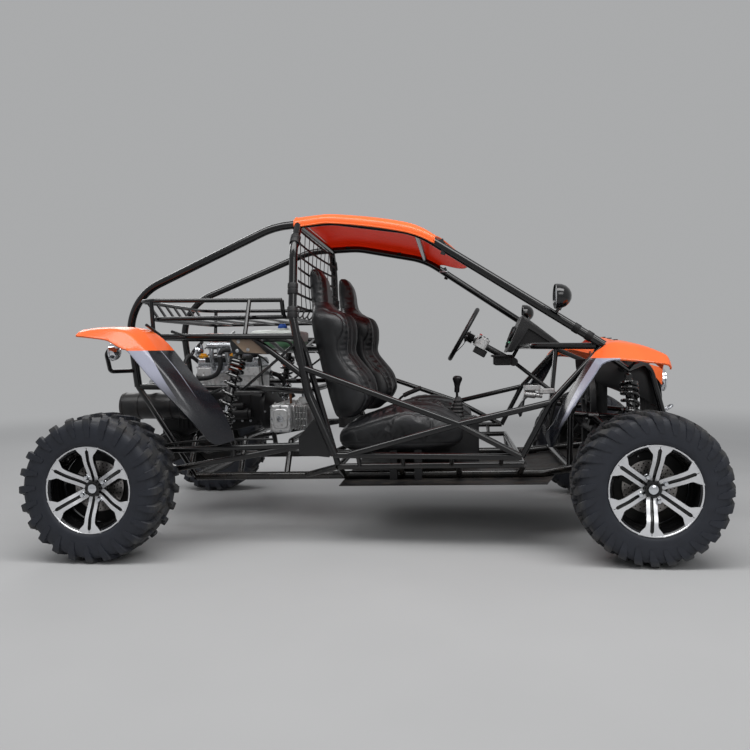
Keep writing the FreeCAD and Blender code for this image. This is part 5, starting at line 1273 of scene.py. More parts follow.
def gearbox_body():
    """Ribbed casing, side cover with bolts, selector tower and output flange."""
    part = bulged([(-600, 118, 520, 634), (-590, 140, 506, 640), (-470, 140, 500, 640),
        (-404, 116, 512, 622), (-388, 84, 530, 600), (-384, 60, 540, 590)], 0.24)
    for side in (NEAR, FAR):
        face = side * 140
        cover = slab((-584, face, 492), (-470, face + side * 62, 636), 22, 7, up=1)
        lid = slab((-566, face, 512), (-488, face + side * 70, 616), 18, 4, up=1)
        ribs = rows_of(slab((-462, face - side * 6, 502), (-456, face + side * 26, 632), 2, 2,
            up=1), (14.5, 0, 0), 5)
        strips = rows_of(slab((-464, face - side * 6, 520), (-396, face + side * 18, 526), 2, 2,
            up=1), (0, 0, 34), 4)
        bolts = joined([bolt((x, face + side * 62, z), (0, side, 0), 10, 7) for x,
            z in ((-577, 500), (-577, 564), (-577, 628), (-477, 500), (-477, 564), (-477, 628),
            (-527, 499), (-527, 629))])
        plug = lathe([(0, 0), (0, 17), (5, 18), (7, 14), (7, 0)], (-527, face + side * 70, 566),
            (0, side, 0), 20)
        part += cover + lid + ribs + strips + bolts.painted(2) + plug.painted(2)
    top_ribs = rows_of(slab((-582, -120, 634), (-576, 120, 646), 2, 2), (28, 0, 0), 5)
    tower = slab((-470, -40, 630), (-410, 40, 668), 10, 5)
    pivot = lathe([(0, 0), (0, 13), (26, 13), (30, 9), (30, 0)], (-440, 0, 666), Z, 18)
    flange = lathe([(-386, 0), (-386, 34), (-374, 34), (-374, 20), (-366, 18), (-366, 0)],
        (0, 0, 566), X, 26)
    lever = bar((-487, -128, 640), (-487, -128, 716), 7) + bar((-487, -150, 716), (-487, -96, 716),
        6)
    return part + top_ribs + tower + pivot.painted(2) + flange.painted(2) + lever.painted(3)


def final_casing():
    """The final drive: a turned casing with cooling ribs, and its neck to the engine."""
    ribs = []
    for y in np.arange(-66, 67, 22):
        ribs += [(y - 4, 78), (y - 2.5, 85.5), (y + 2.5, 85.5), (y + 4, 78)]
    profile = [(-105, 0), (-105, 44), (-98, 50), (-92, 70), (-80, 78)] + ribs + [(80, 78),
        (92, 70), (98, 50), (105, 44), (105, 0)]
    casing = lathe(profile, (-1186, 0, 400), Y, 48)
    neck = bulged([(-1236, 46, 440, 520), (-1226, 56, 436, 590), (-1150, 56, 436, 590),
        (-1020, 50, 494, 588)], 0.5)
    bolts = both(around(bolt((-1186, 104, 436), Y, 11, 6), (-1186, 104, 400), Y, 8))
    fins = rows_of(slab((-1140, -60, 500), (-1134, 60, 592), 2, 2), (24, 0, 0), 5)
    return casing + neck + fins + bolts.painted(2)


def tank():
    """A blow-moulded tank: a soft box whose sides pull in at a waist, with a seam, raised pads on
    top, and its neck."""
    shape = pillow((-688, -206, 934), (-442, 206, 1036), 0.2, 0.3, 26, 64)
    p = shape.points
    pinch = 1 - 0.16 * np.clip((985 - p[:, 2]) / 51, 0, 1) ** 1.3
    p[:, :2] = (-565, 0) + (p[:, :2] + (565, 0)) * pinch[:, None]
    seam = 3.0 * np.exp(-((p[:, 2] - 992) / 2.6) ** 2)
    p[:, :2] += unit((p[:, :2] + (565, 0)) * (1, 0.6)) * seam[:, None]
    neck = lathe([(1026, 0), (1026, 30), (1034, 34), (1042, 34), (1042, 0)], (-520, -150, 0), Z,
        28)
    pads = joined([slab((x, y, 1030), (x + 60, y + 120, 1039), 12, 3) for x,
        y in ((-660, -60), (-660, 80), (-560, 20))])
    return shape + neck + pads


def drum():
    """The muffler: rolled seams at both ends, a shallow dished face and the outlet pipe."""
    start = floats((-1383, -215, 638))
    part = lathe([(352, 0), (352, 24), (352, 26), (350, 60), (347, 68), (340, 72), (334, 72),
        (331, 69.5), (190, 70), (60, 70), (22, 69.5), (19, 72), (12, 72), (5, 69), (3, 64),
        (12, 58), (14, 30), (10, 27), (0, 26), (0, 22), (20, 21), (20, 0)], start, X, 56)
    part += lathe([(350, 0), (350, 27), (372, 25), (372, 0)], start, X, 30)
    for strap in (start + 84 * X, start + 262 * X):
        part += lathe([(0, 70.5), (0, 73), (22, 73), (22, 70.5)], strap, X, 56)
        part += sheet_metal(strap + [(0, 0, 68), (22, 0, 68), (22, 25, 104), (0, 25, 104)], 4,
            (0, 1, 0.7))
    return part


piece("engine", engine_body(), ["cast_metal", "satin_black", "bright_metal"],
    stands_for=["engine_block"])
piece("valve_cover", valve_cover(), ["bright_metal", "moulded_plastic", "bright_metal"])
piece("filler_caps", filler_cap(-985, -66, 888) + filler_cap(-836, -66, 888), "cap_yellow")
piece("intake", intake(), "bright_metal")
piece("engine_fittings", side_fittings(), ["cast_metal", "satin_black"])
piece("exhaust_pipes", exhaust(), "rusty_pipe")
piece("clutch_bell", bell_housing(), ["satin_black", "satin_black", "bright_metal"])
piece("gearbox_casing", gearbox_body(), ["cast_metal", "satin_black", "bright_metal",
    "rusty_pipe"], stands_for=["gearbox"])
piece("drive_casing", final_casing(), ["satin_black", "satin_black", "bright_metal"],
    stands_for=["final_drive"])
piece("tank", tank(), "tank_plastic", stands_for=["fuel_tank"], crease=50)
piece("tank_cap", filler_cap(-520, -150, 1040), "cap_blue")
piece("muffler_drum", drum(), "heat_black", stands_for=["muffler"])

black_hoses = [([(-748, -172, 954), (-726, -176, 950), (-700, -150, 930), (-680, -110, 900)], 17),
    ([(-790, -200, 930), (-826, -226, 928), (-840, -232, 900), (-838, -232, 850),
    (-858, -232, 806), (-905, -230, 785), (-962, -224, 780), (-990, -190, 770)], 12),
    ([(-1016, -60, 868), (-1050, -110, 900), (-1064, -150, 850), (-1040, -170, 780),
    (-1010, -176, 730)], 11), ([(-640, 60, 800), (-600, 90, 780), (-560, 100, 730),
    (-520, 90, 660)], 13), ([(-1016, 70, 740), (-1050, 130, 720), (-1030, 196, 640),
    (-900, 224, 560), (-700, 226, 520), (-560, 214, 500)], 14),
    ([(-1016, 30, 780), (-1044, 60, 820), (-1020, 150, 860), (-960, 190, 850)], 10)]
piece("engine_hoses", joined([hose(points, radius) for points, radius in black_hoses]), "rubber")
clips = [lathe([(-5, radius), (-5, radius + 2), (5, radius + 2), (5, radius)], points[k],
    np.subtract(points[k + 1], points[k]), 20) for points, radius in black_hoses[:4]
    for k in (0, 2)]
piece("hose_clips", joined(clips), "bright_metal")
wires = [([(-960, -60, 906), (-900, -90, 915), (-820, -60, 912), (-740, -30, 915),
    (-660, -60, 890), (-610, -120, 860)], 5), ([(-980, -60, 940), (-930, -110, 962),
    (-860, -130, 966), (-780, -140, 972)], 3.4), ([(-700, -90, 912), (-660, -130, 900),
    (-640, -150, 850), (-636, -150, 760), (-620, -160, 700)], 4.5)]
piece("engine_wires", joined([hose(p, r, 8, 6) for p, r in wires]), "rubber")
low_pipe = hose([(-1018, -150, 698), (-960, -152, 712), (-900, -150, 729), (-850, -146, 734)], 9)
piece("water_pipe", low_pipe, "bright_metal")


# ---- Shock absorbers ----
REAR_SHOCK = ((-642, 540, 922), (-725.5, 622, 495.2))
FRONT_SHOCK = ((1206, 406, 782.2), (1206, 577.7, 284.2))


def coil(a, b, radius, wire, turns):
    """A round wire on a helix between two points of its axis; its last turns at both ends lie
    closer together, as the rise follows turn - sin(2 pi turn) / (2 pi)."""
    a, b = floats(a), floats(b)
    along, first, second = square_to(b - a)
    share = np.linspace(0, 1, int(turns * 18) + 1)[:, None]
    rise = share - 0.55 * np.sin(2 * math.pi * share) / (2 * math.pi)
    turn = share * turns * 2 * math.pi
    path = a + (b - a) * rise + radius * (np.cos(turn) * first + np.sin(turn) * second)
    return sweep(path, circle(wire, 8), across=along)


def damper(ends, reach, collars):
    """Eyes, threaded body, collars, bump stop, rod, cups and coil. Finishes: 0 black, 1 collar
    orange, 2 chrome, 3 bright."""
    top, foot = (floats(end) for end in ends)
    length = np.linalg.norm(foot - top)
    way = (foot - top) / length
    threads = [(42 + k * 3.0, 19.0 + 1.2 * (k % 2)) for k in range(40)]
    body = lathe([(10, 0), (10, 17), (34, 20)] + threads + [(length * 0.56, 21),
        (length * 0.56 + 6, 14), (length * 0.56 + 6, 0)], top, way, 24)
    rod_part = lathe([(-length * 0.5, 0), (-length * 0.5, 7.5), (-40, 7.5), (-40, 0)], foot, way,
        18).painted(2)
    stop = lathe([(-120, 7), (-118, 15), (-104, 17), (-98, 13), (-92, 17), (-78, 18), (-72, 7)],
        foot, way, 20)
    foot_cup = lathe([(-60, 8), (-62, 43), (-56, 44), (-50, 30), (-40, 16), (-12, 15), (-12, 0),
        (-60, 0)], foot, way, 32)
    head_cup = lathe([(30, 0), (30, 22), (34, 43), (40, 44), (44, 40), (44, 0)], top, way, 32)
    part = body + stop + foot_cup + head_cup + rod_part
    for at in collars:
        part += lathe([(0, 18), (0, 30), (2, 31.5), (12, 31.5), (14, 30), (14, 18)],
            top + way * at, way, 26).painted(1)
    for place, (inner, outer) in zip((top, foot), reach):
        start, wide = place + inner * Y, outer - inner
        part += lathe([(0, 0), (0, 12), (1, 15), (wide - 1, 15), (wide, 12), (wide, 0)], start, Y,
            24) + bolt(start, -Y, 15, 9).painted(3)
    return part + coil(top + way * 47, foot - way * 66, 37.5, 7.2, 10.5)


springs = ["spring_black", "collar_orange", "chrome", "bright_metal"]
piece("rear_dampers", both(damper(REAR_SHOCK, ((-20, 30), (-14, 14)), (58, 82))), springs,
    stands_for=["rear_shocks"])
piece("front_dampers", both(damper(FRONT_SHOCK, ((-20, 20), (-14, 14)), ())), springs,
    stands_for=["front_shocks"])


# ---- Cabin: steering wheel, column, instrument pod, lever, console, pedals ----
WHEEL_CENTRE, COLUMN_JOINT = floats([(442, 300, 1005), (725, 300, 843)])
COLUMN = unit(COLUMN_JOINT - WHEEL_CENTRE)
UPWARD = np.cross(COLUMN, Y)


def wheel_grip():
    """A ring of radius 160; its grip is 12.5 thick with finger swells on the lower inside,
    1 + 0.05 cos(24 turn)."""
    turn = full_turn(96)[:, None, None]
    around_grip = full_turn(16)[None, :, None]
    out = np.cos(turn) * Y + np.sin(turn) * UPWARD
    thick = 12.7 * (1 + 0.05 * np.cos(24 * turn) * (np.cos(around_grip) < 0))
    table = (WHEEL_CENTRE + out * (160 + thick * np.cos(around_grip))
        + COLUMN * thick * np.sin(around_grip))
    return grid(table, wrap_u=True, wrap_v=True)


def wheel_spokes():
    """Three flat spokes that run down from the grip to the hub plate. Each is two bars beside a
    slot, through stations of (radius, drop, near edge, far edge)."""
    stations = [(24, 28, 4, 20), (60, 24, 6, 18), (110, 10, 6, 18), (154, 1, 2, 24)]
    bars = []
    for angle in (0, math.pi, -math.pi / 2):
        out = math.cos(angle) * Y + math.sin(angle) * UPWARD
        side = np.cross(COLUMN, out)
        bars += [[[WHEEL_CENTRE + out * r + COLUMN * (drop + deep) + side * hand * edge for edge,
            deep in ((a, 0), (b, 0), (b, 4), (a, 4))] for r, drop, a, b in stations]
            for hand in (-1, 1)]
    return loft(bars)


def wheel_hub():
    """Hub plate, its six screws, the boss behind it in soft folds, and the plain button."""
    plate_part = lathe([(22, 0), (22, 34), (24, 36), (28, 36), (30, 34), (30, 0)], WHEEL_CENTRE,
        COLUMN, 40)
    button = lathe([(21, 0), (16, 18), (14, 22), (18, 27), (23, 28), (23, 0)], WHEEL_CENTRE,
        COLUMN, 36)
    screws = around(bolt(WHEEL_CENTRE + COLUMN * 22 + Y * 31, -COLUMN, 6, 4), WHEEL_CENTRE, COLUMN,
        6)
    folds = [(30, 0), (30, 24)]
    for k in range(5):
        folds += [(31 + k * 7, 24), (34.5 + k * 7, 29)]
    boss = lathe(folds + [(62, 22), (62, 0)], WHEEL_CENTRE, COLUMN, 32)
    stub = lathe([(60, 0), (60, 11), (112, 11), (112, 0)], WHEEL_CENTRE, COLUMN, 20)
    return plate_part + button.painted(1) + screws.painted(2) + boss.painted(1) + stub


def beside_column(low, high, corner):
    """A rounded box given along the column (from the wheel's middle), across, and above it."""
    block = slab(low, high, corner, min(3, corner * 0.5))
    return block.mapped(lambda p: WHEEL_CENTRE + p @ np.stack([COLUMN, Y, UPWARD]))


piece("steering_grip", wheel_grip(), "leather", "steering_wheel", stands_for=["steering_wheel"])
piece("steering_spokes", wheel_spokes(), "satin_black", "steering_wheel")
piece("steering_hub", wheel_hub(), ["satin_black", "rubber", "bright_metal"], "steering_wheel")

switch_box = beside_column((76, -44, -26), (150, 44, 40), 8)
switches = joined([beside_column((86 + 20 * k, y, 38), (98 + 20 * k, y + 22, 46), 3)
    for k in range(3) for y in (-36, 12)])
stalks = both(bar((500, 0, 972), (520, 78, 988), 5)).mapped(lambda p: p + (20, 300, 0))
under_box = beside_column((92, -38, -62), (168, 38, -22), 9)
piece("switch_housing", switch_box + switches.painted(1) + stalks.painted(1)
    + under_box.painted(1), ["cast_metal", "moulded_plastic"])
piece("ignition_button", lathe([(0, 0), (0, 9), (3, 9), (6, 7), (7, 0)], WHEEL_CENTRE + COLUMN * 96
    + (14, -30, 42), (0.5, 0, 0.87), 20), "wire_red")
relay_box = slab((612, 262, 824), (712, 372, 884), 10, 4, up=1)
lower_tray = slab((600, 232, 872), (716, 400, 884), 10, 3)
piece("relay_box", relay_box + lower_tray, "moulded_plastic")


def pod():
    """The instrument pod: a folded hood, thick at its face and thin in front; the section runs
    round its side view and the ends are closed by rounded cheeks."""
    section = floats([(686, 906), (682, 912), (758, 1086), (766, 1092), (790, 1088), (976, 942),
        (980, 936), (966, 926), (900, 966), (806, 1030), (788, 1022), (716, 910), (700, 900)])
    ring = through(np.concatenate([section, section[:1]]), 3)[:-1]
    middle = ring.mean(0)
    places = [(152, 0.9), (156, 0.98), (166, 1), (404, 1), (414, 0.98), (418, 0.9)]
    y, share = floats(places).T[..., None]
    flat = middle + (ring - middle) * share[..., None]
    return loft(spread(flat[..., 0], y, flat[..., 1]))


def pod_cheek(y):
    """A flat side of the hood, between its face and its front edge."""
    return sheet_metal([(700, y, 908), (770, y, 1080), (974, y, 938), (940, y, 926),
        (820, y, 930)], 4, Y)


FACE_WAY = unit([-0.924, 0, 0.383])
FACE_UP = unit([0.383, 0, 0.924])


def dial(y, height, radius):
    """A round dial on the pod's face: a glazed disc in a rim; the spot is (turn, radius, 0)."""
    middle = np.array([715.0, y, 988.0]) + FACE_UP * height + FACE_WAY * 4
    turn = full_turn(40)[:, None]
    reach = np.array([0.0, 0.35, 0.75, 1.0])[None] * radius
    table = middle + FACE_WAY * 5 + spread(np.cos(turn) * reach,
        np.sin(turn) * reach) @ np.stack([Y, FACE_UP])
    spots = spread(turn / (2 * math.pi), reach / radius * 36, 0 * turn)
    face = grid(table, wrap_u=True, spots=spots)
    back = face.mapped(lambda p: p - FACE_WAY * 3)
    rim_ring = lathe([(0, radius - 1), (6, radius), (9, radius + 1), (9, radius + 4),
        (0, radius + 6)], middle, FACE_WAY, 40, closed=True)
    needle = sheet_metal([middle + FACE_WAY * 6.5 + Y * a + FACE_UP * b for a,
        b in ((-1.5, -5), (1.5, -5), (-radius * 0.5, radius * 0.6),
        (-radius * 0.54, radius * 0.56))], 1, FACE_WAY)
    return face, back, rim_ring, needle


piece("instrument_pod", pod(), "moulded_plastic", stands_for=["dashboard"])
piece("pod_cheeks", pod_cheek(165) + pod_cheek(405), "satin_black")
dials = [dial(y, h, r) for y, h, r in ((240, 12, 42), (335, 12, 42), (288, -48, 20))]
piece("dials", joined([d[0] for d in dials]), "dial_face")
piece("dial_rims", joined([d[1] + d[2] for d in dials]), "satin_black")
piece("dial_needles", joined([d[3] for d in dials]), "wire_red")
lights = joined([lathe([(0, 0), (0, 6), (4, 6), (6, 4), (7, 0)], np.array([700.0, y, 950.0])
    + FACE_WAY * 6, FACE_WAY, 14) for y in (190, 206, 372, 388)])
piece("warning_lights", lights, "lamp_green")


def boot(middle, levels):
    """Bellows with a square foot: at each level the ring is a rounded square whose half size
    steps in and out, and which leans towards the lever."""
    turn = full_turn(40)
    side, up = swelled(np.cos(turn), 0.55), swelled(np.sin(turn), 0.55)
    z, half, shift = floats(levels).T[..., None]
    return loft(middle + spread(shift + half * side, half * up, z))


def lever():
    """Ball-topped grip: a profile of (up, radius) that narrows at its neck."""
    grip = lathe([(-66, 0), (-66, 12), (-60, 14), (-34, 14), (-14, 19), (2, 25.5), (12, 26),
        (20, 21), (24.5, 11), (25, 0)], (402, 0, 752), (0.05, 0, 1), 32)
    return grip + bar((401, 0, 640), (399, 0, 692), 7)


folds = [(0, 43, -8), (4, 43, -8)]
for k, half in enumerate((42, 39, 35, 30, 25)):
    folds += [(8 + k * 19, half, -8 + k * 2), (17 + k * 19, half - 6, -7 + k * 2)]
piece("lever_boot", boot((404, 0, 558), folds + [(104, 14, 0), (106, 9, 0)]), "rubber",
    stands_for=["gear_lever"])
piece("lever_grip", lever(), "moulded_plastic")

tunnel = bulged([(76, 22, 300, 468), (84, 28, 292, 476), (240, 28, 292, 482), (330, 34, 292, 540),
    (352, 42, 292, 556), (360, 43, 292, 559), (500, 43, 292, 559), (512, 38, 296, 552),
    (515, 30, 300, 546)], 0.2, 40)
screws = both(joined([bolt((x, 36, 556), Z, 7, 4) for x in (372, 488)]))
piece("console_tunnel", tunnel + screws.painted(1), ["moulded_plastic", "bright_metal"],
    stands_for=["centre_console"])

brake_arm = hose([(40, -12, 560), (80, -14, 640), (120, -16, 676), (204, -20, 712)], 6.5, 12, 6)
brake_grip = hose([(112, -16, 672), (140, -17, 686), (180, -19, 702), (208, -20, 714)], 12, 14, 5)
ratchet = sheet_metal([(10, -12, 480), (70, -12, 480), (80, -12, 560), (50, -12, 590),
    (14, -12, 560)], 5, Y)
piece("hand_brake", brake_arm + ratchet + brake_grip.painted(1)
    + bolt((44, -15, 552), -Y, 12, 8).painted(2), ["satin_black", "rubber", "bright_metal"])


def pedal(y, x, wide):
    """A hanging arm and a ribbed pad."""
    arm = hose([(x + 60, y, 640), (x + 44, y, 590), (x + 20, y, 500), (x, y, 452)], 7, 10, 6)
    pad = slab((x - 6, y - wide / 2, 414), (x + 6, y + wide / 2, 474), 6, 2)
    ribs = rows_of(slab((x - 10, y - wide / 2 + 4, 420), (x - 5, y + wide / 2 - 4, 424), 1.5, 1),
        (0, 0, 10.5), 5)
    return arm + pad + ribs.painted(1)


pedals = pedal(210, 900, 46) + pedal(300, 906, 62) + pedal(385, 910, 54)
cross = bar((962, 180, 640), (962, 420, 640), 10)
piece("pedals", pedals + cross, ["satin_black", "rubber"])
reservoir = (slab((768, 120, 686), (858, 176, 716), 8, 4) + slab((850, 124, 668), (936, 172, 696),
    8, 4))
cylinder = lathe([(0, 0), (0, 16), (6, 20), (60, 20), (66, 14), (100, 14), (100, 0)],
    (770, 150, 668), (1, 0, -0.12), 24)
caps = joined([lathe([(0, 0), (0, 16), (8, 17), (10, 14), (10, 0)], (x, 148, 716), Z, 22)
    for x in (790, 834)])
piece("brake_cylinder", reservoir + cylinder + caps.painted(1), ["cast_metal", "rubber"])


# ---- Mirrors, lamps, nose, net, wraps, plates, brakes, latches ----
def mirror_dish(rows):
    """The near mirror's outline, an egg in plan, carried through rows of (depth, share)."""
    rows, turn = floats(rows), full_turn(44)
    return grid(spread(890 - rows[:, :1], -760 + 71 * rows[:, 1:] * np.cos(turn),
        1142 + 54 * rows[:, 1:] * np.sin(turn)), wrap_v=True)


shell_part = mirror_dish([(0, 0.0), (3, 0.35), (12, 0.62), (26, 0.84), (44, 0.97), (62, 1.0),
    (70, 0.99), (71, 0.96), (66, 0.93)])
stalk = hose([(858, -716, 1122), (846, -700, 1096), (834, -692, 1078)], 7.5, 14, 6)
nut = lathe([(0, 0), (0, 12), (14, 12), (18, 9), (18, 0)], (842, -696, 1088), (0.5, 0, 1), 6)
piece("mirror_shells", both(shell_part + stalk + nut), "gloss_shell", stands_for=["mirrors"])
piece("mirror_glasses", both(mirror_dish([(64, 0.0), (64.5, 0.5), (66, 0.93)])), "mirror_glass")


def lamp_bowl(middle, way, radius, depth):
    """A spun bowl with a bead round its mouth; the profile narrows as a quarter ellipse."""
    share = np.linspace(0, 1, 10)
    bowl = [(-depth + depth * s, radius * math.sqrt(max(0.0, 1 - (1 - s) ** 2.2))) for s in share]
    rim_ring = [(2, radius + 2), (7, radius + 2), (9, radius), (7, radius - 3), (1, radius - 4),
        (-4, radius - 8), (-depth + 10, radius * 0.3), (-depth + 8, 0)]
    return lathe(bowl + rim_ring, middle, way, 40)


def lens(middle, way, radius, bulge):
    """A domed lens with fine flutes: bulge (1 - r^2) plus a small ripple."""
    ring = np.linspace(0, 1, 12)
    profile = [(bulge * (1 - r * r) + 0.5 * math.cos(r * 40), radius * r) for r in ring]
    return lathe(profile + [(-3, radius), (-3, 0)], middle, way, 40)


TAIL_LAMP, HEAD_LAMP = floats((-1250, -600, 927)), floats((1430, -150, 752))
tail_bowl = lamp_bowl(TAIL_LAMP, -X, 41, 36) + bar(TAIL_LAMP + 30 * X, (-1218, -560, 974), 7)
head_bowl = lamp_bowl(HEAD_LAMP, X, 55, 62) + hose(HEAD_LAMP
    + [(-50, 0, 0), (-66, -40, 6), (-72, -108, 0)], 7, 12, 6)
piece("tail_lamp_bowls", both(tail_bowl), "chrome", stands_for=["tail_lamps"])
piece("tail_lamp_lenses", both(lens(TAIL_LAMP, -X, 38, 7)), "lamp_red")
piece("head_lamp_bowls", both(head_bowl), "chrome", stands_for=["head_lamps"])
piece("head_lamp_lenses", both(lens(HEAD_LAMP, X, 51, 6)), "lamp_clear")


def nose_panel():
    """The lower nose: rows from top to foot, each an arch across, with a pressed middle."""
    rows = through(floats([(1366, 244, 806), (1386, 248, 760), (1404, 236, 700), (1412, 214, 620),
        (1404, 190, 540), (1384, 170, 446)]), 6)
    share = np.sin(np.linspace(math.pi / 2, -math.pi / 2, 41))
    press = 5 * 0.5 * (np.tanh((share + 0.6) / 0.06) - np.tanh((share - 0.6) / 0.06))
    x = rows[:, :1] + 20 * (1 - share ** 2) - press
    return spread(x, rows[:, 1:2] * share, rows[:, 2:] + 0 * share)


piece("nose_skin", facing_shell(nose_panel(), 4, 0, inside=0), "satin_black",
    stands_for=["nose_lower"])
flank = floats([[(1286, 268, 846), (1345, 264, 832), (1404, 256, 814)],
    [(1322, 270, 812), (1362, 268, 800), (1403, 258, 786)],
    [(1362, 270, 776), (1384, 267, 766), (1402, 258, 758)],
    [(1396, 268, 736), (1398, 266, 735), (1401, 260, 732)]])
flank = through(through(flank, 5), 5, axis=1)
piece("nose_flanks", both(facing_shell(flank, 4, 1, inside=0)), "plain_orange")
side_cover = through(through(floats([[(1062, 236, 852), (1180, 240, 858), (1290, 240, 850),
    (1372, 236, 800)], [(1068, 240, 800), (1180, 246, 800), (1290, 246, 780), (1384, 240, 740)],
    [(1084, 238, 760), (1180, 243, 744), (1290, 243, 716), (1396, 238, 680)],
    [(1120, 232, 730), (1190, 236, 712), (1290, 236, 676), (1402, 232, 620)]]), 6), 6, axis=1)
piece("bay_covers", both(facing_shell(side_cover, 3, 1, inside=0)), "moulded_plastic")
grille = joined([slab((1420, -120, z), (1428, 120, z + 8), 3, 2) for z in range(520, 680, 22)])
piece("nose_slats", grille, "moulded_plastic")


# Net behind the seats: flat webs sewn into a grid, sagging a little between the hoop's legs.
def web(points, wide, thick, face):
    """A flat strip along a smooth curve, its face towards the given direction; the spot is
    (distance across, distance along, 0)."""
    path = through(floats(points), 6)
    across = unit(np.cross(unit(np.gradient(path, axis=0)), face))
    section = oblong(wide, thick, thick * 0.45, 1)
    up = floats(face)
    rings = path[:, None] + section[None, :, :1] * across[:, None] + section[None, :, 1:] * up
    part = loft(rings)
    run = np.concatenate([[0], np.cumsum(np.linalg.norm(np.diff(path, axis=0), axis=1))])
    part.spots = spread(section[None, :, 0], run[:, None], 0 * run[:, None]).reshape(-1, 3)
    return part


def net():
    """Verticals and horizontals of webbing; each leans back by up to 16 in the middle."""
    def sag(y, z):
        return -338 - 14 * (1 - (y / 560) ** 2) * np.sin((z - 1114) / 386 * math.pi)
    strips = []
    for y in np.linspace(-520, 520, 10):
        top = 1498 if abs(y) < 500 else 1440
        strips.append(web([(sag(y, z), y, z) for z in np.linspace(1118, top, 7)], 13, 2, X))
    for z in np.arange(1128, 1500, 61):
        half = np.interp(z, [1083, 1400, 1528], [618, 570, 470])
        strips.append(web([(sag(y, z) - 2.2, y, z - 5 * (1 - (y / half) ** 2))
            for y in np.linspace(-half, half, 13)], 13, 2, X))
    loops = [hose([(-340, side * y, 1124), (-352, side * (y + 10), 1096),
        (-342, side * (y + 22), 1078), (-328, side * (y + 8), 1092)], 4, 8, 5)
        for side in (NEAR, FAR) for y in (60, 180, 300, 420, 530)]
    return joined(strips), joined(loops)


strips, loops = net()
piece("net", strips, "webbing")
piece("net_cords", loops, "rubber")


def wrap(a, b, radius, share):
    """A rubber sleeve round a tube between two points, with a strap line in its middle."""
    a, b = floats(a), floats(b)
    profile = [(-26, 0.4), (-26, 4), (-24, 5), (-4, 5), (-3, 3.6), (3, 3.6), (4, 5), (24, 5),
        (26, 4), (26, 0.4)]
    return lathe(floats(profile) + (0, radius), a + (b - a) * share, b - a, 28, closed=True)


SHOULDER, WAIST = (-357, 596, 1400), (-357, 645, 1083)
ROOT = (-355, 486, 1528)
wraps = both(wrap(SHOULDER, WAIST, 19.5, 0.6) + wrap(SHOULDER, WAIST, 19.5, 0.95)
    + wrap(ROOT, SHOULDER, 19.5, 0.66))
piece("hoop_wraps", wraps, "rubber")
PILLAR, BEND = np.array([1037.0, 700, 929]), np.array([215.0, 570, 1470])
clamps = both(joined([lathe([(-15, 19.9), (-15, 21.4), (-13, 22), (13, 22), (15, 21.4),
    (15, 19.9)], PILLAR + (BEND - PILLAR) * share, BEND - PILLAR, 28, closed=True)
    for share in (0.075, 0.14)]))
piece("pillar_clamps", clamps, "satin_black")

# painted reflection: the black shock plates are coloured tan for the brown ground mirrored in them
tan_plate = sheet_metal([(-676, 577.4, 984), (-570, 577.4, 980), (-496, 577.4, 908),
    (-610, 577.4, 918)], 2.4, Y)
plate_bolts = joined([bolt((x, 578.6, z), Y, 12, 6) for x, z in ((-636, 968), (-590, 930),
    (-642, 925))])
piece("shock_plates", both(tan_plate + plate_bolts.painted(1)), ["tan_primer", "bright_metal"])


latch = slab((298, 560, 1392), (352, 590, 1400), 5, 2)
strap = web([(330, 596, 1424), (338, 600, 1402), (344, 602, 1376), (338, 604, 1352)], 22, 3, Y)
piece("roof_latches", both(latch), "bright_metal")
piece("roof_straps", both(strap), "webbing")
shackle = hose([(1488, -20, 590), (1512, -18, 606), (1520, 0, 612), (1512, 18, 606),
    (1488, 20, 590)], 7, 14, 8)
piece("tow_shackle", shackle + bolt((1488, 22, 588), Y, 14, 9), "bright_metal")

for word, side in HANDS:
    route = [(1206, side * 410, 770), (1192, side * 470, 600), (1176, side * 540, 470),
        (1150, side * 590, 420)]
    piece("front_brake_hose_" + word, hose(route, 5, 10, 8), "rubber")
    route = [(-480, side * 560, 500), (-760, side * 590, 500), (-1000, side * 620, 480),
        (-1090, side * 650, 440)]
    piece("rear_brake_hose_" + word, hose(route, 5, 10, 8), "rubber")
loom = hose([(-620, 548, 978), (-520, 566, 972), (-384, 600, 962), (-338, 612, 860),
    (-276, 622, 720), (-180, 632, 490)], 7, 12, 6)
ties = joined([lathe([(-4, 7), (-4, 9.5), (4, 9.5), (4, 7)], p, q, 14) for p,
    q in (((-520, 566, 972), (1, 0.1, 0)), ((-338, 612, 860), (0.2, 0, -1)),
    ((-276, 622, 720), (0.4, 0, -1)))])
piece("wiring_loom", both(loom), "rubber")
piece("cable_ties", both(ties), "belt_grey")
fan_ring = lathe([(0, 120), (0, 150), (26, 152), (28, 148), (28, 122)], (1080, 0, 640), X, 48,
    closed=True)
blades = around(sheet_metal([(1092, 20, 640), (1100, 20, 650), (1098, 118, 690), (1090, 118, 650)],
    2.4, (1, 0.1, 0)), (1094, 0, 640), X, 7)
hub_part = lathe([(0, 0), (0, 24), (4, 28), (24, 28), (28, 20), (28, 0)], (1080, 0, 640), X, 28)
arm = sheet_metal([(1082, math.cos(a) * r, 640 + math.sin(a) * r) for r,
    a in ((24, 0), (24, 0.12), (148, 0.05), (148, 0))], 4, X)
cross_arms = around(arm, (1082, 0, 640), X, 4)
piece("radiator_fan", fan_ring + blades + hub_part + cross_arms, "moulded_plastic")


def radiator():
    """A core of flat tubes between two end tanks; fins are a zigzag of plates."""
    tanks = joined([slab((1116, -214, z), (1160, 214, z + 40), 14, 5) for z in (470, 780)])
    tubes = rows_of(slab((1126, -196, 512), (1152, -190, 780), 2, 1), (0, 14.6, 0), 27)
    fins = rows_of(sheet_metal([(1128, -196, 516), (1150, -196, 516), (1150, 190, 522),
        (1128, 190, 522)], 1.2, Z), (0, 0, 11.2), 24)
    return tanks + tubes.painted(1) + fins.painted(1)


piece("radiator", radiator(), ["moulded_plastic", "satin_black"])


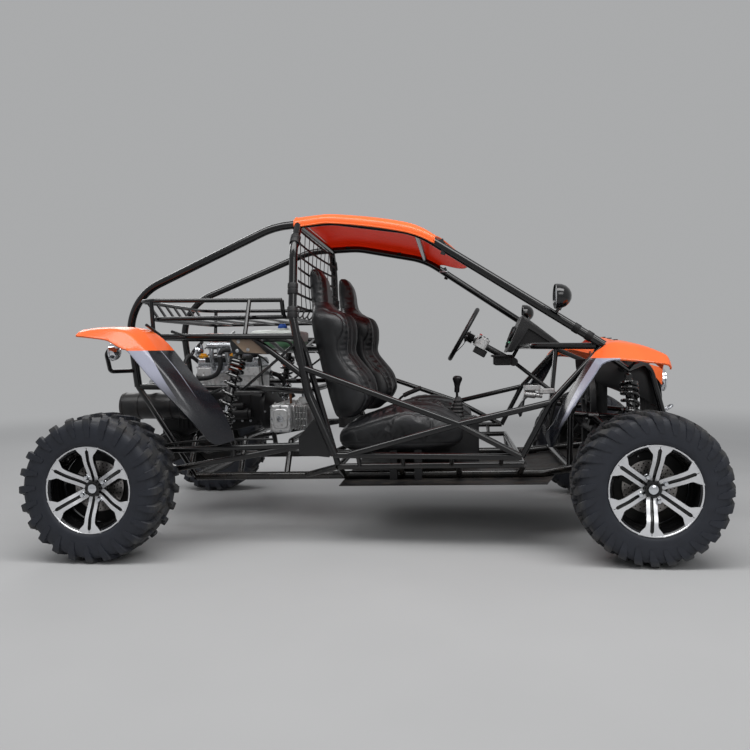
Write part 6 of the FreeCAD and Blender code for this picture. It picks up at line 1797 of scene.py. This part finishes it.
# ---- Camera, floor, light ----
FRAME_WIDTH, FOCAL_LENGTH, SENSOR = 750, 740.2, 36
CAMERA_PLACE, CAMERA_TURNS = (0.3868, -4.0206, 0.9187), (6.13, 1.98, -0.74)
BACKDROP, NONE = (0.4, 0.405, 0.41), (0.0, 0.0, 0.0)
FLOOR_REACH = 90000


def placed(name, data, matrix):
    """An object of the stage at its place."""
    holder = bpy.data.objects.new(name, data)
    bpy.context.collection.objects.link(holder)
    holder.matrix_world = matrix
    return holder


def camera():
    """The camera, turned by yaw about +Z, then down by pitch, then rolled about its line."""
    yaw, pitch, roll = map(math.radians, CAMERA_TURNS)
    ahead = np.array([-math.sin(yaw) * math.cos(pitch), math.cos(yaw) * math.cos(pitch),
        -math.sin(pitch)])
    right = np.array([math.cos(yaw), math.sin(yaw), 0.0])
    up = np.cross(right, ahead)
    right, up = (math.cos(roll) * right + math.sin(roll) * up, math.cos(roll) * up
        - math.sin(roll) * right)
    lens = bpy.data.cameras.new("camera")
    lens.lens, lens.sensor_width = SENSOR * FOCAL_LENGTH / FRAME_WIDTH, SENSOR
    lens.shift_y = 1 / FRAME_WIDTH
    turn = Matrix((right, up, -ahead)).transposed().to_4x4()
    bpy.context.scene.camera = placed("camera", lens, Matrix.Translation(CAMERA_PLACE) @ turn)


def lamp(name, place, target, size_x, size_y, power):
    """A soft rectangular lamp aimed at a point."""
    light = bpy.data.lights.new(name, "AREA")
    light.shape, light.size, light.size_y = "RECTANGLE", size_x, size_y
    light.energy = power
    aim = Vector(target) - Vector(place)
    turn = aim.to_track_quat("-Z", "Y").to_matrix().to_4x4()
    placed(name, light, Matrix.Translation(place) @ turn)


def seen_directly(mix):
    """1 for the rays of the camera and those that metal and glass send on, else 0."""
    rays = [mix.node("ShaderNodeLightPath", {}, {}, "Is %s Ray" % word)
        for word in ("Camera", "Glossy", "Transmission")]
    return rays[0].maths("MAXIMUM", rays[0].maths("MAXIMUM", rays[0], rays[1]), rays[2])


def pale_floor(mix):
    """A matt floor that turns into the backdrop's own tone far from the object."""
    flat = mix.node("ShaderNodeVectorMath", {"operation": "MULTIPLY"},
        {0: mix.place, 1: (1, 1, 0)}, "Vector")
    far = mix.node("ShaderNodeVectorMath", {"operation": "LENGTH"}, {0: flat}, "Value").band(3, 9)
    near = mix.blend(mix.noise(1.5, 2), (0.44, 0.44, 0.44), (0.48, 0.48, 0.48))
    return {"Base Color": mix.blend(far, near, NONE),
        "Emission Color": mix.blend(far * seen_directly(mix), NONE, BACKDROP), "Roughness": 0.75
        + mix.noise(8) * 0.1}


make_finish("pale_floor", pale_floor, Specular_IOR_Level=0.0, Emission_Strength=1.0)
reach = np.linspace(-FLOOR_REACH, FLOOR_REACH, 46)
ground = spread(reach[:, None], reach, 0.0)
floor = placed("floor", mesh_of("floor", grid(ground), 60), Matrix())
floor.data.materials.append(FINISH["pale_floor"])

world = bpy.data.worlds.new("studio")
bpy.context.scene.world = world
world.use_nodes = True
sky = Mixture(world)
lit, seen = (sky.node("ShaderNodeBackground", {}, {"Color": colour, "Strength": strength})
    for colour, strength in (((0.95, 0.97, 1.0), 0.38), (BACKDROP, 1.0)))
shown = sky.node("ShaderNodeMixShader", {}, {0: seen_directly(sky), 1: lit, 2: seen})
sky.node("ShaderNodeOutputWorld", {}, {"Surface": shown})

camera()
lamp("overhead", (0.1, -1.9, 4.2), (0, 0, 0.6), 6.5, 1.6, 175)
lamp("near_side", (2.8, -5.2, 3.2), (0.1, 0, 0.6), 3.0, 2.0, 50)
lamp("far_side", (-3.2, 4.0, 3.4), (0, 0, 0.8), 3.0, 2.0, 60)
bpy.context.scene.view_settings.view_transform = "Standard"
